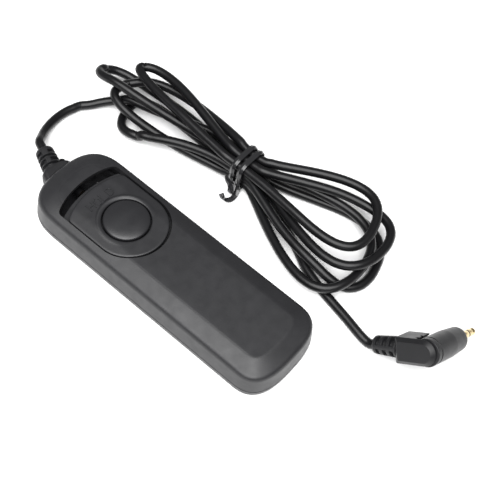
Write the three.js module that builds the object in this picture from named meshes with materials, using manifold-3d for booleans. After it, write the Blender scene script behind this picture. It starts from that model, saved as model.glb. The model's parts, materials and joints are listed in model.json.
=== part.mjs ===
// Wired remote shutter release: a two-part handset with a round release button that rides on a
// hold slider, a set of contact leaves inside, and a cord folded into a tied hank that ends in a
// right-angle 2.5 mm plug. Millimetres, +Z up. The origin is the middle of the handset's
// underside; the handset lies along Y with its cord end at +Y.

import * as THREE from 'three';
import { mergeVertices } from 'three/addons/utils/BufferGeometryUtils.js';
import Module from 'manifold-3d';

const wasm = await Module();
wasm.setup();

// ---------------------------------------------------------------- driving dimensions
// Fits
const FIT_GAP = 0.3; // between two pieces that rest on each other
const STACK_GAP = 0.05; // between the flat pieces of a riveted stack
const RUN_GAP = 0.35; // around a piece that slides
const CUT_OVER = 1; // how far a cutter reaches past the face it opens

// Handset shells
const HANDSET_LENGTH = 101;
const HANDSET_WIDTH = 32.8;
const CROWN_HEIGHT = 12.2; // flat top
const SHOULDER_HEIGHT = 10.2; // where the side wall turns into the sloping margin
const PARTING_HEIGHT = 3;
const HEAD_ROUNDING = 15; // length of the rounded cord end
const TAIL_ROUNDING = 11; // length of the rounded tail end
const END_SQUARENESS = 2.8; // exponent of the superellipse at both ends
const CORNER_STEPS = 9;
const MARGIN_WIDTH = 6.6; // from the side wall in to the flat top
const SIDE_DRAFT = 0.7; // how far the side wall leans in
const SHOULDER_ROUNDING = 0.8;
const FOOT_ROUNDING = 1.4; // rounded lower edge
const SHELL_WALL = 1.8;
const FLOOR_THICKNESS = 1.6;
const TONGUE_WIDTH = 1.1; // the bottom shell's rim that enters the top shell
const TONGUE_HEIGHT = 1.2; // above the parting line

// Slider and button
const BUTTON_FROM_HEAD = 31.1; // button centre to the cord end of the shells
const BUTTON_RADIUS = 7.6;
const BUTTON_GAP = 0.5; // ring gap between button and slider
const BUTTON_TRAVEL = 1.2;
const BUTTON_DOME = 0.9;
const BUTTON_FLANGE = 1.3; // how far the hidden flange stands out
const BUTTON_FLANGE_THICKNESS = 0.7;
const STEM_RADIUS = 2.2;
const SLIDER_HALF_WIDTH = 13;
const SLIDER_TAIL = 14; // button centre to the slider's round end
const SLIDER_HEAD = 16.4; // button centre to the middle of the slider's head edge
const SLIDER_HEAD_BOW = 2.8; // sagitta of the head edge
const SLIDER_TOP = 11.7; // flat middle of the slider
const SLIDER_EDGE_DROP = 0.6;
const SLIDER_FLAT_HALF = 8.4;
const SLIDER_TRAVEL = 3.4;
const SLIDER_LIP_HEIGHT = 0.4;
const SLIDER_LIP_WIDTH = 2.4;
const WING_BOTTOM = 8; // the slider's hidden wing under the shell
const WING_THICKNESS = 0.8;
const WING_OVERHANG = 0.4; // past the shell's opening at each side
const WING_COVER = 1; // past the travel at each end

// Contact set
const BOARD_SIZE = { halfWidth: 9.5, tail: 24.4, head: 18.6, thickness: 1.2 }; // from the button
const BOARD_BOTTOM = 2.7;
const LEAF_THICKNESS = 0.2;
const LEAF_WIDTH = 5;
const CLAMP_FROM_BUTTON = 16.4; // the leaves are riveted here and flex about it
const CLAMP_HALF_LENGTH = 2;
const CLAMP_HALF_WIDTH = 5.6;
const LEAF_ROOT_WIDTH = 10.4;
const LEAF_FLEX_ROOM = 0.2; // around a leaf that flexes, at its clamp
const SPACER_LOWER_THICKNESS = 0.65;
const SPACER_MIDDLE_THICKNESS = 0.65;
const SPACER_UPPER_THICKNESS = 0.3;
const CLAMP_PLATE_THICKNESS = 0.3;
const COMMON_LEAF_REACH = 23; // from the clamp's centre to the free end
const FOCUS_LEAF_REACH = 18;
const RELEASE_LEAF_REACH = 17;
const LEAF_TAB = { length: 3.4, width: 1.8 }; // solder tab behind the clamp
const TAB_OFFSET = 3.6; // the outer tabs, from the middle
const RIVET_SPACING = 7.4;
const RIVET_RADIUS = 0.7;
const RIVET_HEAD_RADIUS = 1.2;
const RIVET_HEAD_HEIGHT = 0.3;
const RIVET_CLEARANCE = 0.2;
const DETENT = { halfWidth: 2.5, strip: 0.3, footFromButton: 11.1, noseFromButton: 16.6, foot: 4.5 };

// Fasteners and posts
const HEAD_SCREWS = { x: 8.5, fromEnd: 4.5 };
const TAIL_SCREWS = { x: 9, fromEnd: 9.5 };
const SHELL_SCREW = { headRadius: 2, headHeight: 1, shankRadius: 1, length: 7.6 };
const SHELL_SCREW_SEAT = 1.9; // height of the seat in the bottom shell
const POST_RADIUS = 2.9;
const BOSS_RADIUS = 2.3;
const SMALL_SCREW = { headRadius: 1.3, headHeight: 0.5, shankRadius: 0.6, length: 2.2 };
const SMALL_POST_RADIUS = 1.5;
const BOARD_SCREW_X = 7.4;
const BOARD_SCREW_FROM_BUTTON = 14.1;
const SCREW_CLEARANCE = 0.25;
const CROSS_SLOT = { length: 2.2, width: 0.45, depth: 0.5 };

// Cord and its fittings
const CORD_DIAMETER = 3.2;
const GLAND_COLLAR = { width: 11, height: 7, thickness: 2.6 };
const GLAND_NECK = { width: 7, height: 5.8, belowParting: 0.1 };
const GLAND_FLANGE = { width: 9.4, height: 6, thickness: 1.2 };
const RELIEF_LENGTH = 9.8;
const RELIEF_RADIUS_START = 3.4;
const RELIEF_RADIUS_END = 3.1;
const RELIEF_CORE_RADIUS = 2.15;
const RELIEF_OVERLAP = 0.6; // the sleeve starts inside the collar
const RELIEF_SLOTS = 2;
const RELIEF_SLOT_WIDTH = 0.8;
const RELIEF_YAW = -23; // degrees: the soft relief gives towards the cord
const CLIP = { fromHead: 5.3, halfLength: 1.1, halfWidth: 5, thickness: 0.8, screwX: 3.5 };
const CORD_INNER_FROM_HEAD = 11;
const LEAD_DIAMETER = 0.8;
const LEAD_SPACING = 1.15;
const LEAD_BEND = 1; // scale of the bends at both ends of a lead wire
const LEAD_LANE = 11; // the wires run beside the board, this far from the middle
const OUTER_LEAD_LANE = 12.3;

// Hank
const WAIST = { x: 46, y: 7.4, z: 6.95 }; // middle of the tied bundle
const STRAND_PITCH = 3.7; // strand to strand in the tied bundle
const WAIST_HALF = 4.6; // straight half length under the tie
const SUPPORT_PITCH = 3.95; // a strand that lies on another stays this far above it
const FALL_LENGTH = 24; // over this length a strand comes down from the bundle to the floor
const FREE_OF_BUNDLE = 9; // nearer than this the bundle alone sets the heights
const HUMP_SLOPE = 0.32; // steepest climb of a strand over another
const LOBE_STEPS = 24;
const HANK_BEARING = 90; // degrees: the hank lies along Y
const HANK_SIDES = 6;
const HANK_LEAST_GAP = 0.4;
const SETTLE_ROUNDS = 800;
const SETTLE_SAMPLES = 4;
const SETTLE_PUSH = 0.5;
const SETTLE_SINK = 0.005;

// Twist tie
const TIE_WIDTH = 2.2;
const TIE_THICKNESS = 0.9;
const TIE_TAIL_THICKNESS = 0.9;
const TIE_WRAP_SPACING = 4.3;
const TIE_CLEARANCE = 0.45;
const TIE_STEPS_PER_WRAP = 24;
const TIE_SQUARENESS = 6;
const TIE_TWIST_START = new THREE.Vector3(37.2, 7.5, 2.1);
const TIE_TWIST_END = new THREE.Vector3(33, 5.6, 2.6);
const TIE_TWIST_RADIUS = 0.8;
const TIE_TWIST_TURNS = 1.25;
const TIE_TWIST_STEPS = 12;

// Plug
const PLUG_CORNER = new THREE.Vector3(29.6, -80.4, 14.2); // on the pin's axis, beside the cord's
const PIN_DIRECTION = new THREE.Vector3(0.849, -0.177, -0.498).normalize();
const PLUG_BODY_AIM = new THREE.Vector3(0.184, -0.785, 0.592); // from the cord to the corner
const PLUG_BODY_REACH = 10.4; // corner to the end that holds the relief
const PLUG_BODY_HALF = 4.2;
const PLUG_ROUND_SHIFT = 0.75; // the round end's centre, from the corner towards the cord
const PLUG_BACK = -6.4; // back face, measured along the pin from the corner
const PLUG_BACK_DEPTH = 1.3; // the plate behind the groove
const PLUG_BODY_FRONT = 2.9;
const PLUG_CHEEK_END = 2.9; // the cheeks end this far short of the pin's axis
const PLUG_CHAMFER = 1.2;
const PLUG_JOINT_GAP = 0.35;
const DISC_RADIUS = 4.45;
const DISC_THICKNESS = 2;
const BARREL_RADIUS = 4.45;
const BARREL_RIM_RADIUS = 3.95;
const BARREL_END = 14.8; // from the corner along the pin
const PIN_RADIUS = 1.25;
const PIN_BORE_DEPTH = 4;
const PIN_BORE_CLEARANCE = 0.25;
const PIN_SLEEVE_OUTSIDE = 2.7;
const PIN_INSULATOR_LENGTH = 0.5;
const PIN_INSULATOR_RADIUS = 1.2;
const PIN_RING_LENGTH = 3;
const PIN_TIP_LENGTH = 5.1;
const PIN_GAP = 0.1;
const PLUG_RELIEF = { length: 8.8, radiusStart: 2.9, radiusEnd: 3.5, coreRadius: 2.1 };
const PLUG_RELIEF_SLOTS = 3;
const PLUG_RELIEF_SLOT_WIDTH = 1.1;
const PLUG_RELIEF_SPINE = 1.5;
const PLUG_RELIEF_START = PLUG_BODY_REACH + FIT_GAP + PLUG_RELIEF.length; // where the cord enters
const PLUG_CORD_SHIFT = (PLUG_BACK + PLUG_BODY_FRONT) / 2; // the cord is midway in the housing

// Raised lettering on the slider: strokes in letter units, x across and y up the letter.
const LETTER_SIZE = { width: 1.5, height: 2.2, pitch: 2.3, stroke: 0.4, relief: 0.2 };
const LETTER_FROM_BUTTON = 12.1;
const LETTERS = [
  [[0, 0, 0, 1], [1, 0, 1, 1], [0, 0.5, 1, 0.5]],
  [[0, 0, 0, 1], [1, 0, 1, 1], [0, 0, 1, 0], [0, 1, 1, 1]],
  [[0, 0, 0, 1], [0, 0, 1, 0]],
  [[0, 0, 0, 1], [0, 0, 0.7, 0], [0, 1, 0.7, 1], [0.7, 0, 1, 0.3], [1, 0.3, 1, 0.7], [1, 0.7, 0.7, 1]],
];

// ---------------------------------------------------------------- derived places
const HALF_LENGTH = HANDSET_LENGTH / 2;
const HALF_WIDTH = HANDSET_WIDTH / 2;
const BUTTON_Y = HALF_LENGTH - BUTTON_FROM_HEAD;
const BOARD_TOP = BOARD_BOTTOM + BOARD_SIZE.thickness;
const WING_TOP = WING_BOTTOM + WING_THICKNESS;
const BOARD_TAIL_Y = BUTTON_Y - BOARD_SIZE.tail;
const BOARD_HEAD_Y = BUTTON_Y + BOARD_SIZE.head;
const BOARD_SCREW_Y = BUTTON_Y + BOARD_SCREW_FROM_BUTTON;
const CLAMP_CENTRE_Y = BUTTON_Y - CLAMP_FROM_BUTTON;
const CORD_RADIUS = CORD_DIAMETER / 2;
const CORD_INNER_END_Y = HALF_LENGTH - CORD_INNER_FROM_HEAD;
const CLIP_Y = HALF_LENGTH - CLIP.fromHead;
const GLAND_HEIGHT = PARTING_HEIGHT + GLAND_NECK.height / 2 - GLAND_NECK.belowParting;
const SHELL_SCREW_POSTS = [-1, 1].flatMap((side) => {
  const label = side < 0 ? 'left' : 'right';
  return [
    { name: `head_${label}`, x: side * HEAD_SCREWS.x, y: HALF_LENGTH - HEAD_SCREWS.fromEnd },
    { name: `tail_${label}`, x: side * TAIL_SCREWS.x, y: TAIL_SCREWS.fromEnd - HALF_LENGTH },
  ];
});
const GLAND_OUTER_Y = HALF_LENGTH + GLAND_COLLAR.thickness;

// ---------------------------------------------------------------- solid helpers
function toSolid(geometry) {
  const bare = geometry.index ? geometry.toNonIndexed() : geometry.clone();
  bare.deleteAttribute('normal');
  bare.deleteAttribute('uv');
  const merged = mergeVertices(bare, 1e-5);
  const mesh = new wasm.Mesh({
    numProp: 3,
    vertProperties: new Float32Array(merged.attributes.position.array),
    triVerts: new Uint32Array(merged.index.array),
  });
  return new wasm.Manifold(mesh);
}

function toGeometry(solid) {
  const mesh = solid.getMesh();
  const geometry = new THREE.BufferGeometry();
  geometry.setAttribute('position', new THREE.BufferAttribute(new Float32Array(mesh.vertProperties), 3));
  geometry.setIndex(new THREE.BufferAttribute(new Uint32Array(mesh.triVerts), 1));
  return geometry;
}

function box(width, depth, height, x = 0, y = 0, z = 0) {
  return toSolid(new THREE.BoxGeometry(width, depth, height).translate(x, y, z + height / 2));
}

function rod(radius, height, x = 0, y = 0, z = 0, sides = 20) {
  const upright = new THREE.CylinderGeometry(radius, radius, height, sides).rotateX(Math.PI / 2);
  return toSolid(upright.translate(x, y, z + height / 2));
}

function prism(points, bottom, height) {
  const shape = new THREE.Shape(points.map(([x, y]) => new THREE.Vector2(x, y)));
  const geometry = new THREE.ExtrudeGeometry(shape, { depth: height, bevelEnabled: false });
  return toSolid(geometry.translate(0, 0, bottom));
}

// A round solid from [radius, height] pairs, turned about +Z.
function turned(profile, sides = 24) {
  const points = profile.map(([radius, height]) => new THREE.Vector2(radius, height));
  return toSolid(new THREE.LatheGeometry(points, sides).rotateX(Math.PI / 2));
}

// Rings of equal count joined by walls and closed at both ends.
function loftGeometry(rings) {
  const count = rings[0].length;
  const positions = rings.flat(2);
  const index = [];
  for (let level = 0; level + 1 < rings.length; level += 1) {
    for (let i = 0; i < count; i += 1) {
      const a = level * count + i;
      const b = level * count + ((i + 1) % count);
      index.push(a, b, b + count, a, b + count, a + count);
    }
  }
  const last = (rings.length - 1) * count;
  for (let i = 1; i + 1 < count; i += 1) {
    index.push(0, i + 1, i);
    index.push(last, last + i, last + i + 1);
  }
  const geometry = new THREE.BufferGeometry();
  geometry.setAttribute('position', new THREE.Float32BufferAttribute(positions, 3));
  geometry.setIndex(index);
  return geometry;
}

// A tube through points; its width lies along across as nearly as the tube's own direction
// lets it. sizes gives the half width and half thickness at each point.
function sweepGeometry(points, sizes, sides, across) {
  const rings = [];
  for (let i = 0; i < points.length; i += 1) {
    const before = points[Math.max(0, i - 1)];
    const after = points[Math.min(points.length - 1, i + 1)];
    const along = after.clone().sub(before).normalize();
    const side = across.clone().addScaledVector(along, -across.dot(along)).normalize();
    const up = along.clone().cross(side);
    const ring = [];
    for (let k = 0; k < sides; k += 1) {
      const angle = ((k + 0.5) / sides) * 2 * Math.PI;
      const spot = points[i].clone();
      spot.addScaledVector(side, Math.cos(angle) * sizes[i][0]);
      spot.addScaledVector(up, Math.sin(angle) * sizes[i][1]);
      ring.push(spot.toArray());
    }
    rings.push(ring);
  }
  return loftGeometry(rings);
}

function cordGeometry(points, diameter, sides, steps) {
  const section = new THREE.Shape();
  for (let k = 0; k < sides; k += 1) {
    const angle = (k / sides) * 2 * Math.PI;
    const spot = [Math.cos(angle) * diameter / 2, Math.sin(angle) * diameter / 2];
    if (k === 0) {
      section.moveTo(...spot);
    } else {
      section.lineTo(...spot);
    }
  }
  const path = new THREE.CatmullRomCurve3(points, false, 'centripetal');
  return new THREE.ExtrudeGeometry(section, { steps, bevelEnabled: false, extrudePath: path });
}

const group = new THREE.Group();

function finish(color, roughness, metalness = 0) {
  return () => new THREE.MeshStandardMaterial({ color, roughness, metalness });
}

const blackPlastic = finish(0x2b2b2d, 0.6);
const satinButton = finish(0x2e2e31, 0.4);
const cordVinyl = finish(0x252527, 0.5);
const softRubber = finish(0x232325, 0.75);
const tieCoat = finish(0x1b1b1c, 0.3);
const boardLaminate = finish(0x7a5a2c, 0.7);
const springBrass = finish(0xc9a04e, 0.35, 0.9);
const plainSteel = finish(0xa8abb0, 0.35, 0.9);
const palePlastic = finish(0xd8d4c8, 0.6);
const goldPlate = finish(0xe2c27a, 0.25, 1);
const pinInsulator = finish(0x161617, 0.5);

function add(name, shape, material, parent = group) {
  const geometry = shape.isBufferGeometry ? shape : toGeometry(shape);
  const mesh = new THREE.Mesh(geometry, material());
  mesh.name = name;
  parent.add(mesh);
  return mesh;
}

// ---------------------------------------------------------------- handset outlines
// The shells' plan, moved in by inset: straight sides and superellipse ends.
function handsetOutline(inset) {
  const power = 2 / END_SQUARENESS;
  const points = [];
  for (let quarter = 0; quarter < 4; quarter += 1) {
    for (let step = 0; step < CORNER_STEPS; step += 1) {
      const angle = (quarter + step / CORNER_STEPS) * (Math.PI / 2);
      const rounding = Math.sin(angle) >= 0 && quarter < 2 ? HEAD_ROUNDING : TAIL_ROUNDING;
      const side = Math.sign(quarter < 2 ? 1 : -1);
      const x = Math.sign(Math.cos(angle)) * Math.abs(Math.cos(angle)) ** power;
      const y = Math.abs(Math.sin(angle)) ** power;
      points.push([
        (HALF_WIDTH - inset) * x,
        side * (HALF_LENGTH - rounding + (rounding - inset) * y),
      ]);
    }
  }
  return points;
}

function shellLoft(sections) {
  const rings = sections.map(([z, inset]) => handsetOutline(inset).map(([x, y]) => [x, y, z]));
  return toSolid(loftGeometry(rings));
}

// The slider's plan: round tail end about the button, straight sides, bowed head edge.
function sliderOutline(grow, headShift = 0) {
  const half = SLIDER_HALF_WIDTH + grow;
  const tailCentre = BUTTON_Y - SLIDER_TAIL + SLIDER_HALF_WIDTH;
  const headCorner = BUTTON_Y + SLIDER_HEAD - SLIDER_HEAD_BOW + grow + headShift;
  const steps = 16;
  const points = [];
  for (let step = 0; step <= steps; step += 1) {
    const angle = Math.PI + (step / steps) * Math.PI;
    points.push([half * Math.cos(angle), tailCentre + half * Math.sin(angle)]);
  }
  for (let step = 0; step <= steps; step += 1) {
    const across = 1 - (2 * step) / steps;
    points.push([half * across, headCorner + SLIDER_HEAD_BOW * (1 - across * across)]);
  }
  return points;
}

// ---------------------------------------------------------------- handset shells
function topShell() {
  const low = PARTING_HEIGHT + FIT_GAP / 2;
  const outer = shellLoft([
    [low, 0],
    [SHOULDER_HEIGHT - SHOULDER_ROUNDING, SIDE_DRAFT],
    [SHOULDER_HEIGHT - SHOULDER_ROUNDING * 0.3, SIDE_DRAFT + SHOULDER_ROUNDING * 0.25],
    [SHOULDER_HEIGHT + SHOULDER_ROUNDING * 0.2, SIDE_DRAFT + SHOULDER_ROUNDING],
    [CROWN_HEIGHT - 0.15, MARGIN_WIDTH - 0.5],
    [CROWN_HEIGHT, MARGIN_WIDTH + 0.6],
  ]);
  const ceiling = CROWN_HEIGHT - SHELL_WALL;
  const hollow = shellLoft([
    [low - CUT_OVER, SHELL_WALL],
    [SHOULDER_HEIGHT - SHELL_WALL * 0.7, SIDE_DRAFT + SHELL_WALL * 0.95],
    [ceiling, MARGIN_WIDTH + SHELL_WALL * 0.4],
  ]);
  let shell = outer.subtract(hollow);
  for (const post of SHELL_SCREW_POSTS) {
    const bossBottom = PARTING_HEIGHT + TONGUE_HEIGHT + FIT_GAP;
    const boss = rod(BOSS_RADIUS, CROWN_HEIGHT - bossBottom, post.x, post.y, bossBottom);
    const inside = outer.intersect(boss);
    shell = shell.add(inside);
    const bore = rod(
      SHELL_SCREW.shankRadius + SCREW_CLEARANCE,
      SHELL_SCREW_SEAT + SHELL_SCREW.length - bossBottom,
      post.x, post.y, bossBottom,
    );
    shell = shell.subtract(bore);
  }
  const opening = prism(sliderOutline(RUN_GAP, SLIDER_TRAVEL), WING_BOTTOM, CROWN_HEIGHT);
  const clipRoom = box(
    2 * (CLIP.halfWidth + FIT_GAP), 2 * (CLIP.halfLength + FIT_GAP),
    clipScrewTop() + FIT_GAP - low, 0, CLIP_Y, low,
  );
  return shell.subtract(opening).subtract(glandNotch()).subtract(clipRoom);
}

// The slot in both shells that grips the strain relief's neck, and room for its flange.
function glandNotch() {
  const neckHalf = GLAND_NECK.height / 2 + FIT_GAP;
  const neck = box(
    GLAND_NECK.width + 2 * FIT_GAP, SHELL_WALL * 3, 2 * neckHalf,
    0, HALF_LENGTH, GLAND_HEIGHT - neckHalf,
  );
  const flangeHalf = GLAND_FLANGE.height / 2 + FIT_GAP;
  const flange = box(
    GLAND_FLANGE.width + 2 * FIT_GAP, GLAND_FLANGE.thickness + 2 * FIT_GAP, 2 * flangeHalf,
    0, glandNeckBack() - GLAND_FLANGE.thickness / 2, GLAND_HEIGHT - flangeHalf,
  );
  return neck.add(flange);
}

function glandNeckBack() {
  return HALF_LENGTH - SHELL_WALL - 3 * FIT_GAP;
}

function bottomShell() {
  const high = PARTING_HEIGHT - FIT_GAP / 2;
  const outer = shellLoft([
    [0, FOOT_ROUNDING],
    [FOOT_ROUNDING * 0.3, FOOT_ROUNDING * 0.45],
    [FOOT_ROUNDING, 0.1],
    [high, 0],
  ]);
  const tongueOut = SHELL_WALL + FIT_GAP;
  const tongueTop = PARTING_HEIGHT + TONGUE_HEIGHT;
  const tongue = shellLoft([[FLOOR_THICKNESS - 0.4, tongueOut], [tongueTop, tongueOut]]);
  const hollowInset = tongueOut + TONGUE_WIDTH;
  const hollow = shellLoft([[FLOOR_THICKNESS, hollowInset], [tongueTop + CUT_OVER, hollowInset]]);
  let shell = outer.add(tongue).subtract(hollow);
  const postBottom = FLOOR_THICKNESS - 0.4;
  for (const post of SHELL_SCREW_POSTS) {
    const postHeight = tongueTop - postBottom;
    shell = shell.add(rod(POST_RADIUS, postHeight, post.x, post.y, postBottom).intersect(tongue));
    const seat = SHELL_SCREW.headRadius + SCREW_CLEARANCE;
    shell = shell.subtract(rod(seat, SHELL_SCREW_SEAT + CUT_OVER, post.x, post.y, -CUT_OVER));
    const hole = SHELL_SCREW.shankRadius + SCREW_CLEARANCE;
    shell = shell.subtract(rod(hole, tongueTop + CUT_OVER, post.x, post.y, 0));
  }
  const postTop = BOARD_BOTTOM - STACK_GAP;
  for (const side of [-1, 1]) {
    const x = side * BOARD_SCREW_X;
    shell = shell.add(rod(SMALL_POST_RADIUS, postTop - postBottom, x, BOARD_SCREW_Y, postBottom));
    shell = shell.add(rod(SMALL_POST_RADIUS, postTop - postBottom, x, CLAMP_CENTRE_Y, postBottom));
    const pilot = SMALL_SCREW.shankRadius + SCREW_CLEARANCE;
    shell = shell.subtract(rod(pilot, postTop, x, BOARD_SCREW_Y, FLOOR_THICKNESS));
  }
  return shell.add(cordCradle()).subtract(glandNotch());
}

// Two posts and a saddle under the cord, which the clip is screwed down on.
function cordCradle() {
  const bottom = FLOOR_THICKNESS - 0.4;
  const top = GLAND_HEIGHT + CORD_RADIUS - FIT_GAP;
  const block = box(
    2 * CLIP.halfWidth, 2 * CLIP.halfLength, top - bottom, 0, CLIP_Y, bottom,
  );
  const groove = rod(CORD_RADIUS + FIT_GAP, 4 * CLIP.halfLength, 0, 0, -2 * CLIP.halfLength);
  const laid = groove.rotate([90, 0, 0]).translate([0, CLIP_Y, GLAND_HEIGHT]);
  const slot = box(CORD_DIAMETER + 2 * FIT_GAP, 4 * CLIP.halfLength, 4, 0, CLIP_Y, GLAND_HEIGHT);
  let cradle = block.subtract(laid).subtract(slot);
  for (const side of [-1, 1]) {
    const pilot = SMALL_SCREW.shankRadius + SCREW_CLEARANCE;
    const depth = SMALL_SCREW.length;
    cradle = cradle.subtract(rod(pilot, depth, side * CLIP.screwX, CLIP_Y, top - depth + CUT_OVER));
  }
  return cradle;
}

// ---------------------------------------------------------------- slider and button
function holdSlider() {
  const holeRadius = BUTTON_RADIUS + BUTTON_GAP;
  const edge = SLIDER_TOP - SLIDER_EDGE_DROP;
  const reach = SLIDER_TAIL + SLIDER_HEAD + SLIDER_HEAD_BOW;
  const half = SLIDER_HALF_WIDTH + CUT_OVER;
  const slope = SLIDER_EDGE_DROP / (SLIDER_HALF_WIDTH - SLIDER_FLAT_HALF);
  const outside = edge - slope * CUT_OVER;
  const section = [
    [-half, WING_BOTTOM], [half, WING_BOTTOM], [half, outside],
    [SLIDER_FLAT_HALF, SLIDER_TOP], [-SLIDER_FLAT_HALF, SLIDER_TOP], [-half, outside],
  ];
  const crowned = prism(section, -reach, 2 * reach).rotate([90, 0, 0]).translate([0, BUTTON_Y, 0]);
  let slider = prism(sliderOutline(0), WING_BOTTOM, CROWN_HEIGHT).intersect(crowned);
  const roomInset = SIDE_DRAFT + SHELL_WALL + FIT_GAP;
  const room = prism(handsetOutline(roomInset), WING_BOTTOM, WING_THICKNESS);
  const wing = prism(wingOutline(), WING_BOTTOM, WING_THICKNESS);
  slider = slider.add(wing.intersect(room.translate([0, -SLIDER_TRAVEL, 0])));
  const lip = turned([
    [holeRadius, WING_TOP],
    [holeRadius + SLIDER_LIP_WIDTH, WING_TOP],
    [holeRadius + SLIDER_LIP_WIDTH, SLIDER_TOP - 0.02],
    [holeRadius + SLIDER_LIP_WIDTH * 0.45, SLIDER_TOP + SLIDER_LIP_HEIGHT * 0.8],
    [holeRadius + SLIDER_LIP_WIDTH * 0.2, SLIDER_TOP + SLIDER_LIP_HEIGHT],
    [holeRadius, SLIDER_TOP + SLIDER_LIP_HEIGHT * 0.7],
    [holeRadius, WING_TOP],
  ], 40).translate([0, BUTTON_Y, 0]);
  slider = slider.add(lip);
  const bore = rod(holeRadius, CROWN_HEIGHT, 0, BUTTON_Y, WING_BOTTOM - CUT_OVER, 40);
  const flangeRoom = BUTTON_RADIUS + BUTTON_FLANGE + RUN_GAP;
  const seatHeight = WING_BOTTOM + BUTTON_FLANGE_THICKNESS + 2 * FIT_GAP;
  const counterbore = rod(
    flangeRoom, seatHeight - WING_BOTTOM + CUT_OVER, 0, BUTTON_Y, WING_BOTTOM - CUT_OVER, 40,
  );
  slider = slider.subtract(bore).subtract(counterbore);
  slider = slider.add(sliderLetters());
  for (const notchY of detentNotches()) {
    slider = slider.subtract(box(2 * DETENT.halfWidth + 1, 1.6, 0.5, 0, notchY, WING_BOTTOM - 0.1));
  }
  return slider;
}

function sliderLetters() {
  const { width, height, pitch, stroke, relief } = LETTER_SIZE;
  const bottom = SLIDER_TOP - 0.5;
  const bars = [];
  LETTERS.forEach((letter, index) => {
    const left = (index - (LETTERS.length - 1) / 2) * pitch - width / 2;
    const low = BUTTON_Y + LETTER_FROM_BUTTON - height / 2;
    for (const [x0, y0, x1, y1] of letter) {
      const from = new THREE.Vector2(left + x0 * width, low + y0 * height);
      const to = new THREE.Vector2(left + x1 * width, low + y1 * height);
      const along = to.clone().sub(from);
      const turn = THREE.MathUtils.radToDeg(along.angle());
      const bar = box(along.length() + stroke, stroke, 0.5 + relief).rotate([0, 0, turn]);
      bars.push(bar.translate([(from.x + to.x) / 2, (from.y + to.y) / 2, bottom]));
    }
  });
  return wasm.Manifold.union(bars);
}

// The hidden wing keeps the opening covered wherever the slider stands.
function wingOutline() {
  const half = SLIDER_HALF_WIDTH + RUN_GAP + WING_OVERHANG;
  const tailCentre = BUTTON_Y - SLIDER_TAIL + SLIDER_HALF_WIDTH;
  const tailReach = SLIDER_TRAVEL + WING_COVER;
  const headCorner = BUTTON_Y + SLIDER_HEAD - SLIDER_HEAD_BOW + SLIDER_TRAVEL + WING_COVER;
  const steps = 16;
  const points = [];
  for (let step = 0; step <= steps; step += 1) {
    const angle = Math.PI + (step / steps) * Math.PI;
    points.push([half * Math.cos(angle), tailCentre - tailReach + half * Math.sin(angle)]);
  }
  for (let step = 0; step <= steps; step += 1) {
    const across = 1 - (2 * step) / steps;
    points.push([half * across, headCorner + SLIDER_HEAD_BOW * (1 - across ** 2)]);
  }
  return points;
}

function releaseButton() {
  const flangeBottom = WING_BOTTOM + FIT_GAP;
  const flangeTop = flangeBottom + BUTTON_FLANGE_THICKNESS;
  const edge = SLIDER_TOP + 0.1;
  const profile = [
    [0, leafBottom('common') + LEAF_THICKNESS + FIT_GAP],
    [STEM_RADIUS, leafBottom('common') + LEAF_THICKNESS + FIT_GAP],
    [STEM_RADIUS, flangeBottom],
    [BUTTON_RADIUS + BUTTON_FLANGE, flangeBottom],
    [BUTTON_RADIUS + BUTTON_FLANGE, flangeTop],
    [BUTTON_RADIUS, flangeTop],
    [BUTTON_RADIUS, edge - 0.3],
  ];
  const domeSteps = 7;
  for (let step = 0; step <= domeSteps; step += 1) {
    const angle = (step / domeSteps) * (Math.PI / 2);
    profile.push([(BUTTON_RADIUS - 0.25) * Math.cos(angle), edge + BUTTON_DOME * Math.sin(angle)]);
  }
  profile[profile.length - 1][0] = 0;
  return turned(profile, 40).translate([0, BUTTON_Y, 0]);
}

// ---------------------------------------------------------------- contact set
// Heights of the riveted stack, from the board up.
function leafBottom(which) {
  const release = BOARD_TOP + STACK_GAP + SPACER_LOWER_THICKNESS + STACK_GAP;
  const focus = release + LEAF_THICKNESS + STACK_GAP + SPACER_MIDDLE_THICKNESS + LEAF_FLEX_ROOM;
  const common = focus + LEAF_THICKNESS + 2 * LEAF_FLEX_ROOM + SPACER_UPPER_THICKNESS - STACK_GAP;
  return { release, focus, common }[which];
}

function rivetHoles(bottom, height) {
  const radius = RIVET_RADIUS + RIVET_CLEARANCE;
  const x = RIVET_SPACING / 2;
  return rod(radius, height, x, CLAMP_CENTRE_Y, bottom, 12)
    .add(rod(radius, height, -x, CLAMP_CENTRE_Y, bottom, 12));
}

function contactLeaf(which, reach, tabX) {
  const bottom = leafBottom(which);
  const rootTail = CLAMP_CENTRE_Y - CLAMP_HALF_LENGTH;
  const rootHead = CLAMP_CENTRE_Y + CLAMP_HALF_LENGTH;
  const tip = CLAMP_CENTRE_Y + reach;
  const root = LEAF_ROOT_WIDTH / 2;
  const arm = LEAF_WIDTH / 2;
  const tab = LEAF_TAB.width / 2;
  const outline = [
    [tabX - tab, rootTail], [tabX - tab, rootTail - LEAF_TAB.length],
    [tabX + tab, rootTail - LEAF_TAB.length], [tabX + tab, rootTail],
    [root, rootTail], [root, rootHead], [arm, rootHead + 2], [arm, tip - 1.5], [arm - 1.5, tip],
    [1.5 - arm, tip], [-arm, tip - 1.5], [-arm, rootHead + 2], [-root, rootHead], [-root, rootTail],
  ];
  const blank = prism(outline, bottom, LEAF_THICKNESS);
  return blank.subtract(rivetHoles(bottom - CUT_OVER, 3));
}

function stackPlate(bottom, thickness) {
  const plate = box(
    2 * CLAMP_HALF_WIDTH, 2 * CLAMP_HALF_LENGTH, thickness, 0, CLAMP_CENTRE_Y, bottom,
  );
  return plate.subtract(rivetHoles(bottom - CUT_OVER, thickness + 2 * CUT_OVER));
}

function clampPlateBottom() {
  return leafBottom('common') + LEAF_THICKNESS + LEAF_FLEX_ROOM;
}

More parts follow.
